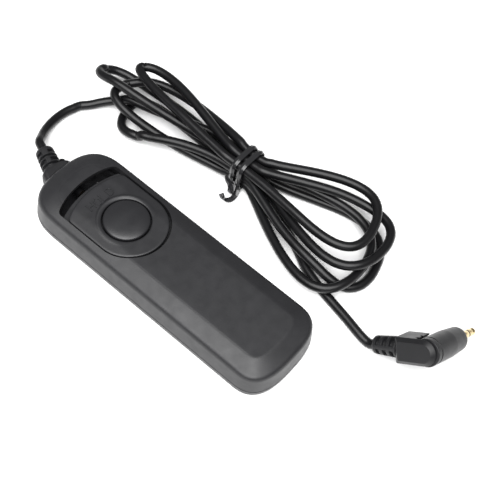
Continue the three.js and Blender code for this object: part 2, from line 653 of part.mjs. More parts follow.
function stackRivet(side) {
  const top = clampPlateBottom() + CLAMP_PLATE_THICKNESS + STACK_GAP;
  const bottom = BOARD_BOTTOM - STACK_GAP;
  const profile = [
    [0, bottom - RIVET_HEAD_HEIGHT],
    [RIVET_HEAD_RADIUS * 0.8, bottom - RIVET_HEAD_HEIGHT],
    [RIVET_HEAD_RADIUS, bottom],
    [RIVET_RADIUS, bottom],
    [RIVET_RADIUS, top],
    [RIVET_HEAD_RADIUS, top],
    [RIVET_HEAD_RADIUS * 0.7, top + RIVET_HEAD_HEIGHT],
    [0, top + RIVET_HEAD_HEIGHT],
  ];
  return turned(profile, 12).translate([side * RIVET_SPACING / 2, CLAMP_CENTRE_Y, 0]);
}

function contactBoard() {
  const { halfWidth, thickness } = BOARD_SIZE;
  const length = BOARD_HEAD_Y - BOARD_TAIL_Y;
  const middle = (BOARD_HEAD_Y + BOARD_TAIL_Y) / 2;
  const board = box(2 * halfWidth, length, thickness, 0, middle, BOARD_BOTTOM);
  let drilled = board.subtract(rivetHoles(BOARD_BOTTOM - CUT_OVER, thickness + 2 * CUT_OVER));
  for (const side of [-1, 1]) {
    const hole = SMALL_SCREW.shankRadius + SCREW_CLEARANCE;
    const x = side * BOARD_SCREW_X;
    drilled = drilled.subtract(rod(hole, 4, x, BOARD_SCREW_Y, BOARD_BOTTOM - CUT_OVER));
  }
  return drilled;
}

// A bent spring strip on the board whose nose clicks into the slider's two notches.
function detentNotches() {
  const nose = BUTTON_Y + DETENT.noseFromButton;
  return [nose, nose - SLIDER_TRAVEL];
}

function detentSpring() {
  const low = BOARD_TOP + STACK_GAP;
  const high = WING_BOTTOM - FIT_GAP;
  const { strip, foot } = DETENT;
  const footY = BUTTON_Y + DETENT.footFromButton;
  const noseY = BUTTON_Y + DETENT.noseFromButton;
  const side = [
    [footY - foot / 2, low], [footY + foot / 2, low], [noseY - 1.6, high - 1.1],
    [noseY - 0.6, high - 0.75], [noseY, high - strip], [noseY + 0.6, high - 0.75],
    [noseY + 1.6, high - 1.4], [noseY + 1.6, high - 1.4 + strip], [noseY + 0.7, high - 0.45],
    [noseY, high], [noseY - 0.7, high - 0.45], [noseY - 1.7, high - 1.1 + strip],
    [footY + foot / 2 - 0.2, low + strip], [footY - foot / 2, low + strip],
  ];
  const strip3d = prism(side, -DETENT.halfWidth, 2 * DETENT.halfWidth);
  return strip3d.rotate([90, 0, 90]);
}

// ---------------------------------------------------------------- screws and clip
function crossHeadScrew({ headRadius, headHeight, shankRadius, length }) {
  const profile = [
    [0, -headHeight],
    [headRadius * 0.82, -headHeight],
    [headRadius, -headHeight * 0.6],
    [headRadius, 0],
    [shankRadius, 0],
    [shankRadius, length - shankRadius],
    [shankRadius * 0.3, length],
    [0, length],
  ];
  const scale = headRadius / 2;
  const { length: slot, width, depth } = CROSS_SLOT;
  const cutDepth = Math.min(depth, headHeight * 0.6);
  const bar = box(slot * scale, width * scale, cutDepth + CUT_OVER, 0, 0, -headHeight - CUT_OVER);
  return turned(profile, 16).subtract(bar).subtract(bar.rotate([0, 0, 90]));
}

function shellScrew(post) {
  const seat = SHELL_SCREW_SEAT - FIT_GAP;
  return crossHeadScrew(SHELL_SCREW).translate([post.x, post.y, seat]);
}

function downwardScrew(x, y, seat) {
  return crossHeadScrew(SMALL_SCREW).rotate([180, 0, 0]).translate([x, y, seat]);
}

function clipBottom() {
  return GLAND_HEIGHT + CORD_RADIUS + FIT_GAP / 2;
}

function clipScrewTop() {
  return clipBottom() + CLIP.thickness + FIT_GAP / 2 + SMALL_SCREW.headHeight;
}

function cableClip() {
  const bottom = clipBottom();
  let clip = box(
    2 * CLIP.halfWidth, 2 * CLIP.halfLength, CLIP.thickness, 0, CLIP_Y, bottom,
  );
  for (const side of [-1, 1]) {
    const hole = SMALL_SCREW.shankRadius + SCREW_CLEARANCE;
    clip = clip.subtract(rod(hole, 4, side * CLIP.screwX, CLIP_Y, bottom - CUT_OVER));
  }
  return clip;
}

// ---------------------------------------------------------------- strain relief and inner cord
function glandBlock(size, thickness, y) {
  const corner = size.height * 0.3;
  const w = size.width / 2;
  const h = size.height / 2;
  const outline = [
    [-w + corner, -h], [w - corner, -h], [w, -h + corner], [w, h - corner],
    [w - corner, h], [-w + corner, h], [-w, h - corner], [-w, -h + corner],
  ];
  const block = prism(outline, 0, thickness).rotate([90, 0, 0]);
  return block.translate([0, y + thickness, GLAND_HEIGHT]);
}

// A tapered sleeve along +Z with ring slots and, between them, side windows.
function slottedSleeve({ length, radiusStart, radiusEnd, coreRadius }, slots, slotWidth) {
  const profile = [[0, 0], [radiusStart, 0]];
  const ribs = slots + 1;
  const ribLength = (length - slots * slotWidth) / ribs;
  const radiusAt = (z) => radiusStart + (radiusEnd - radiusStart) * (z / length);
  for (let slot = 0; slot < slots; slot += 1) {
    const start = (slot + 1) * ribLength + slot * slotWidth;
    const end = start + slotWidth;
    profile.push([radiusAt(start), start], [coreRadius, start]);
    profile.push([coreRadius, end], [radiusAt(end), end]);
  }
  profile.push([radiusEnd, length - 0.4], [radiusEnd - 0.4, length], [0, length]);
  return turned(profile, 20);
}

function handsetRelief() {
  const collar = glandBlock(GLAND_COLLAR, GLAND_COLLAR.thickness - FIT_GAP, HALF_LENGTH + FIT_GAP);
  const neckBack = glandNeckBack();
  const neck = glandBlock(GLAND_NECK, GLAND_OUTER_Y - neckBack, neckBack - 0.5);
  const flange = glandBlock(GLAND_FLANGE, GLAND_FLANGE.thickness, neckBack - GLAND_FLANGE.thickness);
  const sleeve = slottedSleeve({
    length: RELIEF_LENGTH,
    radiusStart: RELIEF_RADIUS_START,
    radiusEnd: RELIEF_RADIUS_END,
    coreRadius: RELIEF_CORE_RADIUS,
  }, RELIEF_SLOTS, RELIEF_SLOT_WIDTH);
  const window = box(1.6, 8, 0.8, 0, 0, 0);
  const ribLength = (RELIEF_LENGTH - RELIEF_SLOTS * RELIEF_SLOT_WIDTH) / (RELIEF_SLOTS + 1);
  let cutSleeve = sleeve;
  for (let rib = 1; rib <= RELIEF_SLOTS; rib += 1) {
    const middle = (rib + 0.5) * ribLength + rib * RELIEF_SLOT_WIDTH - 0.4;
    const core = rod(RELIEF_CORE_RADIUS, 2, 0, 0, middle - 0.5);
    cutSleeve = cutSleeve.subtract(window.translate([0, 0, middle]).subtract(core));
  }
  const bent = cutSleeve.rotate([-90, 0, 0]).rotate([0, 0, RELIEF_YAW]);
  const seated = bent.translate([0, GLAND_OUTER_Y - RELIEF_OVERLAP, GLAND_HEIGHT]);
  const bore = rod(CORD_RADIUS + FIT_GAP, 10, 0, 0, 0).rotate([-90, 0, 0]);
  const inside = bore.translate([0, GLAND_OUTER_Y - 10.6, GLAND_HEIGHT]);
  return collar.add(neck).add(flange).add(seated).subtract(inside);
}

function innerCordEnd() {
  const length = GLAND_OUTER_Y - 0.6 - FIT_GAP - CORD_INNER_END_Y;
  const cord = rod(CORD_RADIUS, length, 0, 0, 0, 12).rotate([-90, 0, 0]);
  return cord.translate([0, CORD_INNER_END_Y, GLAND_HEIGHT]);
}

// One insulated wire from the cord's end, beside the board, to a leaf's solder tab.
function leadWire(startX, lane, swing, tabX, which) {
  const radius = LEAD_DIAMETER / 2;
  const tabY = CLAMP_CENTRE_Y - CLAMP_HALF_LENGTH - LEAF_TAB.length;
  const tabZ = leafBottom(which) + LEAF_THICKNESS / 2;
  const start = CORD_INNER_END_Y - FIT_GAP;
  const low = BOARD_TOP + FIT_GAP + radius;
  const bend = LEAD_BEND;
  const across = lane - startX;
  const points = [
    [startX, start, GLAND_HEIGHT],
    [startX, start - 0.8 * bend, GLAND_HEIGHT + swing * 0.5],
    [startX + across * 0.5, start - 2.3 * bend + swing, GLAND_HEIGHT - 0.5 * bend + swing],
    [startX + across * 0.94, start - 3.6 * bend + swing, low + 0.5 * bend + swing * 0.5],
    [lane, start - 7 * bend, low],
    [lane, BUTTON_Y, low],
    [lane, CLAMP_CENTRE_Y + 5 * bend, low],
    [lane, tabY + 0.4 * bend, low],
    [lane * 0.86, tabY - 3.4 * bend - swing, low],
    [lane * 0.45, tabY - 4.6 * bend - swing, (low + tabZ) / 2],
    [tabX, tabY - 3.2 * bend - swing * 0.4, tabZ],
    [tabX, tabY - 1.2 * bend, tabZ],
    [tabX, tabY - FIT_GAP, tabZ],
  ].map((spot) => new THREE.Vector3(...spot));
  return cordGeometry(points, LEAD_DIAMETER, 6, 44);
}

// ---------------------------------------------------------------- hank
// Each lobe is two cubic curves that meet at its tip. reach and bearing place the tip seen
// from the waist, skew turns it, round gives the handles before and after the tip, and out
// and back the handles at the waist. Slots are columns (-1 is the handset's side) and rows.
const LOBES = {
  right3: { reach: 52.8, bearing: -6, skew: 7, round: [33, 33], out: 5, back: 5 },
  left3: { reach: 51.7, bearing: 0.5, skew: -26, round: [20.5, 16.5], out: 5, back: 5 },
  right1: { reach: 48.2, bearing: 9, skew: 6, round: [26.5, 22.5], out: 5, back: 17 },
  left1: { reach: 53, bearing: -5.5, skew: -40, round: [8, 12], out: 5, back: 8.5 },
  right2: { reach: 54.5, bearing: 4, skew: -4, round: [29.5, 30.5], out: 5, back: 5 },
  left2: { reach: 63.7, bearing: 3, skew: -18, round: [11.5, 8], out: 27.5, back: 44 },
  right4: { reach: 55.2, bearing: 2.5, skew: 12.5, round: [25.5, 31.5], out: 14, back: 5 },
  left4: { reach: 50.4, bearing: 11.5, skew: 17, round: [17, 21.5], out: 24, back: 5.5 },
};

// The cord's passes through the waist in order, each with the slot it holds, then the lobe
// that follows. layers says how high the lobe's two sides lie in the pile, 0 the lowest.
const PASSES = [
  { slot: [1, 1], lobe: 'right3', layers: [2, 2] },
  { slot: [-1, 0], lobe: 'left3', layers: [4, 7] },
  { slot: [1, 2], lobe: 'right1', layers: [4, 4] },
  { slot: [-1, 2], lobe: 'left1', layers: [8, 9] },
  { slot: [0, 2], lobe: 'right2', layers: [3, 3] },
  { slot: [0, 1], lobe: 'left2', layers: [6, 2] },
  { slot: [1, 0], lobe: 'right4', layers: [1, 1] },
  { slot: [-1, 1], lobe: 'left4', layers: [5, 1], change: 0.3 },
  { slot: [0, 0] },
];

// Where the cord comes to the pile and where it leaves it, chosen by hand, on the floor.
const HANK_ENTRY = [[28.6, 68.4], [30.8, 66.5], [33.6, 64.2], [36.1, 61.6], [38.2, 58.2], [40.6, 52]];
const HANK_ENTRY_LAYER = 3;
const HANK_EXIT = [[43.6, -6.5], [41.6, -11.5], [38.9, -17.6], [35.8, -24.4], [31.6, -33], [29.4, -39]];
const HANK_EXIT_END = [[28.4, -42.5], [27.6, -46.2]];
const HANK_EXIT_LAYER = 0;

function slotPoint([column, row], side) {
  return [
    WAIST.x + column * STRAND_PITCH,
    WAIST.y + side * WAIST_HALF,
    WAIST.z + (row - 1) * STRAND_PITCH,
  ];
}

function cubic(a, b, c, d, t) {
  const s = 1 - t;
  return [0, 1].map((i) => s ** 3 * a[i] + 3 * s * s * t * b[i] + 3 * s * t * t * c[i] + t ** 3 * d[i]);
}

function lobePlan(lobe, side, start, end) {
  const base = side * HANK_BEARING;
  const aim = THREE.MathUtils.degToRad(base + lobe.bearing);
  const tip = [WAIST.x + lobe.reach * Math.cos(aim), WAIST.y + lobe.reach * Math.sin(aim)];
  const turn = aim + THREE.MathUtils.degToRad(lobe.skew - 90);
  const heading = [Math.cos(turn), Math.sin(turn)];
  const before = tip.map((v, i) => v - lobe.round[0] * heading[i]);
  const after = tip.map((v, i) => v + lobe.round[1] * heading[i]);
  const leave = [start[0], start[1] + side * lobe.out];
  const arrive = [end[0], end[1] + side * lobe.back];
  const half = LOBE_STEPS / 2;
  const first = [];
  const second = [];
  for (let step = 0; step < half; step += 1) {
    first.push(cubic(start, leave, before, tip, step / half));
    second.push(cubic(tip, after, arrive, end, (step + 1) / half));
  }
  return [...first, tip, ...second];
}

// Lays one run on the runs already down: it follows the fall from the bundle, climbs over
// what lies below it, and comes down again no steeper than HUMP_SLOPE.
function layRun(run, placed) {
  const { plan, slotHeights } = run;
  const lengths = [0];
  for (let i = 1; i < plan.length; i += 1) {
    const step = Math.hypot(plan[i][0] - plan[i - 1][0], plan[i][1] - plan[i - 1][1]);
    lengths.push(lengths[i - 1] + step);
  }
  const total = lengths[lengths.length - 1];
  const fall = (distance, height) => {
    const t = THREE.MathUtils.clamp(distance / FALL_LENGTH, 0, 1);
    return FLOOR_REST + (height - FLOOR_REST) * (1 - t * t * (3 - 2 * t));
  };
  const support = plan.map(([x, y], i) => {
    let height = FLOOR_REST;
    if (slotHeights[0] !== null) {
      height = Math.max(height, fall(lengths[i], slotHeights[0]));
    }
    if (slotHeights[1] !== null) {
      height = Math.max(height, fall(total - lengths[i], slotHeights[1]));
    }
    if (Math.abs(y - WAIST.y) < FREE_OF_BUNDLE) {
      return height;
    }
    for (const below of placed) {
      const apart = Math.hypot(x - below[0], y - below[1]);
      if (apart < SUPPORT_PITCH && Math.abs(below[1] - WAIST.y) > FREE_OF_BUNDLE - 2) {
        height = Math.max(height, below[2] + Math.sqrt(SUPPORT_PITCH ** 2 - apart ** 2));
      }
    }
    return height;
  });
  const held = plan.map(([, y]) => Math.abs(y - WAIST.y) < FREE_OF_BUNDLE);
  const draped = support.map((height, i) => {
    let most = height;
    if (held[i]) {
      return most;
    }
    for (let j = 0; j < plan.length; j += 1) {
      most = Math.max(most, support[j] - HUMP_SLOPE * Math.abs(lengths[i] - lengths[j]));
    }
    return most;
  });
  return draped;
}

const FLOOR_REST = CORD_RADIUS + 0.1; // centre height of a cord that lies on the floor

function densify(points, parts) {
  const fine = [];
  for (let i = 0; i + 1 < points.length; i += 1) {
    for (let k = 0; k < parts; k += 1) {
      fine.push(points[i].map((v, axis) => v + (points[i + 1][axis] - v) * (k / parts)));
    }
  }
  fine.push(points[points.length - 1]);
  return fine;
}

function smoothPlan(points, count) {
  const curve = new THREE.CatmullRomCurve3(points.map(([x, y]) => new THREE.Vector3(x, y, 0)));
  return curve.getSpacedPoints(count).map((p) => [p.x, p.y]);
}

function hankRuns() {
  const runs = [];
  const entrySlot = slotPoint(PASSES[0].slot, 1);
  const leadIn = [[entrySlot[0] - 0.4, entrySlot[1] + 14], [entrySlot[0], entrySlot[1] + 5]];
  const entryPlan = smoothPlan([...HANK_ENTRY, ...leadIn, entrySlot.slice(0, 2)], 20);
  runs.push({ plan: entryPlan, layer: HANK_ENTRY_LAYER, slotHeights: [null, entrySlot[2]], pile: 1 });
  let side = -1;
  for (let i = 0; i + 1 < PASSES.length; i += 1) {
    const start = slotPoint(PASSES[i].slot, side);
    const end = slotPoint(PASSES[i + 1].slot, side);
    const plan = lobePlan(LOBES[PASSES[i].lobe], side, start, end);
    const cut = Math.round(LOBE_STEPS * (PASSES[i].change ?? 0.5));
    const [first, second] = PASSES[i].layers;
    runs.push({ plan: plan.slice(0, cut + 1), layer: first, slotHeights: [start[2], null], pile: side });
    runs.push({ plan: plan.slice(cut), layer: second, slotHeights: [null, end[2]], pile: side });
    side = -side;
  }
  const exitSlot = slotPoint(PASSES[PASSES.length - 1].slot, side);
  const leadOut = [[exitSlot[0], exitSlot[1] - 4]];
  const exitPlan = smoothPlan(
    [exitSlot.slice(0, 2), ...leadOut, ...HANK_EXIT, ...HANK_EXIT_END], 20,
  );
  runs.push({ plan: exitPlan, layer: HANK_EXIT_LAYER, slotHeights: [exitSlot[2], null], pile: side });
  return runs;
}

function hankPath() {
  const runs = hankRuns();
  for (const pile of [1, -1]) {
    const placed = [];
    const own = runs.filter((run) => run.pile === pile);
    for (const layer of [...new Set(own.map((run) => run.layer))].sort((a, b) => a - b)) {
      const level = own.filter((run) => run.layer === layer);
      for (const run of level) {
        run.heights = layRun(run, placed);
      }
      for (const run of level) {
        placed.push(...densify(run.plan.map(([x, y], i) => [x, y, run.heights[i]]), 8));
      }
    }
  }
  const path = [];
  for (const run of runs) {
    run.plan.forEach(([x, y], i) => {
      const spot = new THREE.Vector3(x, y, run.heights[i]);
      const last = path[path.length - 1];
      if (last && last.distanceTo(spot) < 0.05) {
        last.z = Math.max(last.z, spot.z);
      } else {
        path.push(spot);
      }
    });
  }
  return path;
}

// Lets the laid cord settle: stretches nearer than the pitch push each other apart, it sinks
// towards the floor, and it stays smooth. The tied part and both ends stay where they are.
function settle(path) {
  const laid = path.map((spot) => spot.clone());
  const free = path.map((spot, i) => (
    Math.abs(spot.y - WAIST.y) > WAIST_HALF + 0.1 && i > 1 && i < path.length - 2
  ));
  for (let round = 0; round < SETTLE_ROUNDS; round += 1) {
    const push = path.map(() => new THREE.Vector3());
    const spots = [];
    for (let i = 0; i + 1 < path.length; i += 1) {
      for (let k = 0; k < SETTLE_SAMPLES; k += 1) {
        const t = k / SETTLE_SAMPLES;
        spots.push({ i, t, at: path[i].clone().lerp(path[i + 1], t) });
      }
    }
    const apart = Math.ceil(4.5 * SETTLE_SAMPLES);
    for (let a = 0; a < spots.length; a += 1) {
      for (let b = a + apart; b < spots.length; b += 1) {
        const reach = spots[a].at.distanceTo(spots[b].at);
        if (reach < SUPPORT_PITCH) {
          const away = spots[b].at.clone().sub(spots[a].at).setLength((SUPPORT_PITCH - reach) / 2);
          push[spots[a].i].addScaledVector(away, -(1 - spots[a].t));
          push[spots[a].i + 1].addScaledVector(away, -spots[a].t);
          push[spots[b].i].addScaledVector(away, 1 - spots[b].t);
          push[spots[b].i + 1].addScaledVector(away, spots[b].t);
        }
      }
    }
    const moved = path.map((spot, i) => spot.clone().sub(laid[i]));
    const heights = path.map((spot) => spot.z);
    for (let i = 2; i + 2 < path.length; i += 1) {
      if (free[i]) {
        const even = moved[i - 1].clone().add(moved[i + 1]).multiplyScalar(0.5).sub(moved[i]);
        const level = (heights[i - 1] + heights[i + 1]) / 2 - heights[i];
        path[i].x += SETTLE_PUSH * push[i].x + 0.3 * even.x - 0.01 * moved[i].x;
        path[i].y += SETTLE_PUSH * push[i].y + 0.3 * even.y - 0.01 * moved[i].y;
        path[i].z += SETTLE_PUSH * push[i].z + 0.2 * level - SETTLE_SINK;
        path[i].z = Math.max(path[i].z, FLOOR_REST);
      }
    }
  }
}

// The least distance between two stretches of the tube that aren't neighbours, less its width.
function leastSelfGap(path, neighbours) {
  const samples = densify(path.map((spot) => spot.toArray()), 8).map((at) => new THREE.Vector3(...at));
  const lengths = [0];
  for (let i = 1; i < samples.length; i += 1) {
    lengths.push(lengths[i - 1] + samples[i].distanceTo(samples[i - 1]));
  }
  let least = { gap: Infinity };
  for (let i = 0; i < samples.length; i += 1) {
    for (let j = i + 1; j < samples.length; j += 1) {
      if (lengths[j] - lengths[i] > neighbours) {
        const gap = samples[i].distanceTo(samples[j]) - CORD_DIAMETER;
        if (gap < least.gap) {
          least = { gap, from: samples[i], to: samples[j] };
        }
      }
    }
  }
  return { ...least, length: lengths[lengths.length - 1] };
}

const hank = hankPath();
settle(hank);
const hankMeasure = leastSelfGap(hank, 6 * CORD_DIAMETER);
console.log(
  `hank: ${hank.length} points, ${hankMeasure.length.toFixed(0)} mm of cord,`
  + ` least gap to itself ${hankMeasure.gap.toFixed(2)} mm`
  + ` (at least ${HANK_LEAST_GAP} wanted) near ${hankMeasure.from.toArray().map((v) => v.toFixed(1))}`,
);

function hankGeometry() {
  const sizes = hank.map(() => [CORD_RADIUS, CORD_RADIUS]);
  return sweepGeometry(hank, sizes, HANK_SIDES, new THREE.Vector3(0, 0, 1));
}

// ---------------------------------------------------------------- twist tie
// Two wraps side by side about the waist; the ends are twisted together on the near side.
function wrapPoint(turns) {
  const angle = -(turns + 0.375) * 2 * Math.PI;
  const reach = STRAND_PITCH + CORD_RADIUS + TIE_CLEARANCE + TIE_THICKNESS / 2;
  const power = 2 / TIE_SQUARENESS;
  const across = Math.sign(Math.cos(angle)) * Math.abs(Math.cos(angle)) ** power;
  const up = Math.sign(Math.sin(angle)) * Math.abs(Math.sin(angle)) ** power;
  const shift = THREE.MathUtils.smoothstep(turns, 0.75, 1) - 0.5;
  return new THREE.Vector3(
    WAIST.x + reach * across,
    WAIST.y - shift * TIE_WRAP_SPACING,
    WAIST.z + reach * up,
  );
}

function twistPoint(t, phase) {
  const along = TIE_TWIST_END.clone().sub(TIE_TWIST_START);
  const across = new THREE.Vector3(-along.y, along.x, 0).normalize();
  const up = along.clone().normalize().cross(across);
  const angle = phase + t * TIE_TWIST_TURNS * 2 * Math.PI;
  const spot = TIE_TWIST_START.clone().addScaledVector(along, t);
  spot.addScaledVector(across, Math.cos(angle) * TIE_TWIST_RADIUS);
  return spot.addScaledVector(up, Math.sin(angle) * TIE_TWIST_RADIUS);
}

function twistTie() {
  const points = [];
  const sizes = [];
  const tail = [TIE_TAIL_THICKNESS / 2, TIE_TAIL_THICKNESS / 2];
  const band = [TIE_WIDTH / 2, TIE_THICKNESS / 2];
  for (let step = TIE_TWIST_STEPS; step >= 0; step -= 1) {
    points.push(twistPoint(step / TIE_TWIST_STEPS, Math.PI));
    sizes.push(tail);
  }
  for (let step = 0; step <= 2 * TIE_STEPS_PER_WRAP; step += 1) {
    points.push(wrapPoint(step / TIE_STEPS_PER_WRAP));
    sizes.push(step === 0 || step === 2 * TIE_STEPS_PER_WRAP ? tail : band);
  }
  for (let step = 0; step <= TIE_TWIST_STEPS; step += 1) {
    points.push(twistPoint(step / TIE_TWIST_STEPS, 0));
    sizes.push(tail);
  }
  return sweepGeometry(points, sizes, HANK_SIDES, new THREE.Vector3(0, 1, 0));
}

// ---------------------------------------------------------------- free cord
function reliefExit() {
  const yaw = THREE.MathUtils.degToRad(RELIEF_YAW);
  const along = new THREE.Vector3(-Math.sin(yaw), Math.cos(yaw), 0);
  const start = new THREE.Vector3(0, GLAND_OUTER_Y - RELIEF_OVERLAP, GLAND_HEIGHT);
  return { at: start.addScaledVector(along, RELIEF_LENGTH), along, lead: CORD_DIAMETER };
}

// A cord between two faces it meets squarely, through points chosen by hand.
function cordBetween(from, way, to, steps) {
  const points = [
    from.at.clone().addScaledVector(from.along, FIT_GAP),
    from.at.clone().addScaledVector(from.along, from.lead),
    ...way.map((spot) => new THREE.Vector3(...spot)),
    to.at.clone().addScaledVector(to.along, -to.lead),
    to.at.clone().addScaledVector(to.along, -FIT_GAP),
  ];
  return cordGeometry(points, CORD_DIAMETER, 8, steps);
}

function hankEnd(index) {
  const inner = hank[index === 0 ? 1 : hank.length - 2];
  const at = hank[index === 0 ? 0 : hank.length - 1].clone();
  const along = index === 0 ? inner.clone().sub(at) : at.clone().sub(inner);
  return { at, along: along.normalize(), lead: HANK_LEAD };
}

const CORD_WAY_OUT = [
  [7.9, 66.6, 4.4], [11.4, 68.6, 3.1], [15.4, 69.9, 2.3], [19.4, 70.4, 1.9], [23.3, 70.1, 1.8],
  [26.3, 69.3, 1.75],
];
const CORD_WAY_TO_PLUG = [[26.4, -51.6, 1.8], [25.1, -56.6, 1.9], [24.4, -59.7, 1.9]];
const HANK_LEAD = CORD_RADIUS / 2; // the straight end of a cord where it meets the hank

// ---------------------------------------------------------------- plug
// The plug's own frame: +X along the pin, +Y from the cord to the corner, +Z across both.
function plugPlace(solid) {
  const across = PLUG_BODY_AIM.clone();
  across.addScaledVector(PIN_DIRECTION, -across.dot(PIN_DIRECTION)).normalize();
  const up = PIN_DIRECTION.clone().cross(across);
  const place = new THREE.Matrix4().makeBasis(PIN_DIRECTION, across, up).setPosition(PLUG_CORNER);
  return solid.transform(place.elements.slice());
}

function alongPin(solid, start) {
  return solid.rotate([0, 90, 0]).translate([start, 0, 0]);
}

function plugAxis() {
  const across = PLUG_BODY_AIM.clone();
  return across.addScaledVector(PIN_DIRECTION, -across.dot(PIN_DIRECTION)).normalize();
}

// The outline across the pin: square at the relief, round about the corner.
function plugOutline(grow) {
  const steps = 16;
  const half = PLUG_BODY_HALF + grow;
  const points = [[half, -PLUG_BODY_REACH - grow]];
  for (let step = 0; step <= steps; step += 1) {
    const angle = (step / steps) * Math.PI;
    points.push([half * Math.cos(angle), half * Math.sin(angle) - PLUG_ROUND_SHIFT]);
  }
  points.push([-half, -PLUG_BODY_REACH - grow]);
  return points;
}

function plugHousing() {
  const rings = [
    [PLUG_BACK, -PLUG_CHAMFER], [PLUG_BACK + PLUG_CHAMFER, 0], [PLUG_BODY_FRONT, 0],
  ].map(([along, grow]) => plugOutline(grow).map(([z, y]) => [z, y, along]));
  const outline = toSolid(loftGeometry(rings)).rotate([0, 90, 0]).scale([1, 1, -1]);
  const roomStart = PLUG_BACK + PLUG_BACK_DEPTH;
  const depth = PLUG_BODY_FRONT + CUT_OVER - roomStart;
  const room = alongPin(rod(BARREL_RADIUS + PLUG_JOINT_GAP, depth, 0, 0, 0, 40), roomStart);
  const span = 2 * (PLUG_BODY_HALF + CUT_OVER);
  const ahead = box(depth, span, span, roomStart + depth / 2, span / 2 - PLUG_CHEEK_END, -span / 2);
  return outline.subtract(room).subtract(ahead);
}

function plugDisc() {
  const start = PLUG_BACK + PLUG_BACK_DEPTH + PLUG_JOINT_GAP;
  const profile = [
    [0, 0], [DISC_RADIUS - 0.4, 0], [DISC_RADIUS, 0.4],
    [DISC_RADIUS, DISC_THICKNESS - 0.4], [DISC_RADIUS - 0.4, DISC_THICKNESS], [0, DISC_THICKNESS],
  ];
  return alongPin(turned(profile, 32), start);
}

function barrelStart() {
  return PLUG_BACK + PLUG_BACK_DEPTH + DISC_THICKNESS + 2 * PLUG_JOINT_GAP;
}

function plugBarrel() {
  const length = BARREL_END - barrelStart();
  const bore = PIN_RADIUS + PIN_BORE_CLEARANCE;
  const profile = [
    [0, 0], [BARREL_RADIUS - 0.4, 0], [BARREL_RADIUS, 0.4], [BARREL_RADIUS, length * 0.55],
    [BARREL_RIM_RADIUS, length - 0.6], [BARREL_RIM_RADIUS - 0.6, length],
    [bore, length], [bore, length - PIN_BORE_DEPTH], [0, length - PIN_BORE_DEPTH],
  ];
  return alongPin(turned(profile, 32), barrelStart());
}

function pinPieces() {
  const sleeveStart = BARREL_END - PIN_BORE_DEPTH + FIT_GAP;
  const sleeveEnd = BARREL_END + PIN_SLEEVE_OUTSIDE;
  const ringStart = sleeveEnd + 2 * PIN_GAP + PIN_INSULATOR_LENGTH;
  const tipStart = ringStart + PIN_RING_LENGTH + 2 * PIN_GAP + PIN_INSULATOR_LENGTH;
  const insulator = rod(PIN_INSULATOR_RADIUS, PIN_INSULATOR_LENGTH, 0, 0, 0, 16);
  const tip = turned([
    [0, 0], [PIN_RADIUS, 0], [PIN_RADIUS, 1.7], [PIN_RADIUS - 0.35, 2.3], [PIN_RADIUS, 3.3],
    [PIN_RADIUS - 0.1, 3.7], [0.45, PIN_TIP_LENGTH - 0.15], [0, PIN_TIP_LENGTH],
  ], 20);
  return {
    plug_sleeve: alongPin(rod(PIN_RADIUS, sleeveEnd - sleeveStart, 0, 0, 0, 20), sleeveStart),
    plug_insulator_inner: alongPin(insulator, sleeveEnd + PIN_GAP),
    plug_ring: alongPin(rod(PIN_RADIUS, PIN_RING_LENGTH, 0, 0, 0, 20), ringStart),
    plug_insulator_outer: alongPin(insulator, ringStart + PIN_RING_LENGTH + PIN_GAP),
    plug_tip: alongPin(tip, tipStart),
  };
}

function plugRelief() {
  const sleeve = slottedSleeve(PLUG_RELIEF, PLUG_RELIEF_SLOTS, PLUG_RELIEF_SLOT_WIDTH);
  const spineHeight = PLUG_RELIEF.length - 1;
  const spine = box(PLUG_RELIEF_SPINE, 2 * PLUG_RELIEF.radiusStart - 0.3, spineHeight, 0, 0, 0.4);
  const upright = sleeve.add(spine).add(spine.rotate([0, 0, 90]));
  return upright.rotate([-90, 0, 0]).translate([PLUG_CORD_SHIFT, -PLUG_RELIEF_START, 0]);
}

function plugEntry() {
  const along = plugAxis();
  const at = PLUG_CORNER.clone().addScaledVector(PIN_DIRECTION, PLUG_CORD_SHIFT);
  return { at: at.addScaledVector(along, -PLUG_RELIEF_START), along, lead: 0.75 * CORD_DIAMETER };
}

// ---------------------------------------------------------------- assembly
add('top_shell', topShell(), blackPlastic);
add('bottom_shell', bottomShell(), blackPlastic);
add('hold_slider', holdSlider(), blackPlastic);
add('release_button', releaseButton(), satinButton);
add('contact_board', contactBoard(), boardLaminate);
add('common_leaf', contactLeaf('common', COMMON_LEAF_REACH, 0), springBrass);
add('focus_leaf', contactLeaf('focus', FOCUS_LEAF_REACH, -TAB_OFFSET), springBrass);
add('release_leaf', contactLeaf('release', RELEASE_LEAF_REACH, TAB_OFFSET), springBrass);
add('stack_spacer_lower', stackPlate(BOARD_TOP + STACK_GAP, SPACER_LOWER_THICKNESS), palePlastic);
add('stack_spacer_middle', stackPlate(
  leafBottom('release') + LEAF_THICKNESS + STACK_GAP, SPACER_MIDDLE_THICKNESS,
), palePlastic);
add('stack_spacer_upper', stackPlate(
  leafBottom('focus') + LEAF_THICKNESS + LEAF_FLEX_ROOM - STACK_GAP, SPACER_UPPER_THICKNESS,
), palePlastic);
add('stack_clamp_plate', stackPlate(clampPlateBottom(), CLAMP_PLATE_THICKNESS), plainSteel);
add('stack_rivet_left', stackRivet(-1), plainSteel);
add('stack_rivet_right', stackRivet(1), plainSteel);
add('detent_spring', detentSpring(), plainSteel);
for (const [label, side] of [['left', -1], ['right', 1]]) {
  const boardSeat = BOARD_TOP + FIT_GAP / 2;
  add(`board_screw_${label}`, downwardScrew(side * BOARD_SCREW_X, BOARD_SCREW_Y, boardSeat), plainSteel);
  const clipSeat = clipBottom() + CLIP.thickness + FIT_GAP / 2;
  add(`clip_screw_${label}`, downwardScrew(side * CLIP.screwX, CLIP_Y, clipSeat), plainSteel);
}
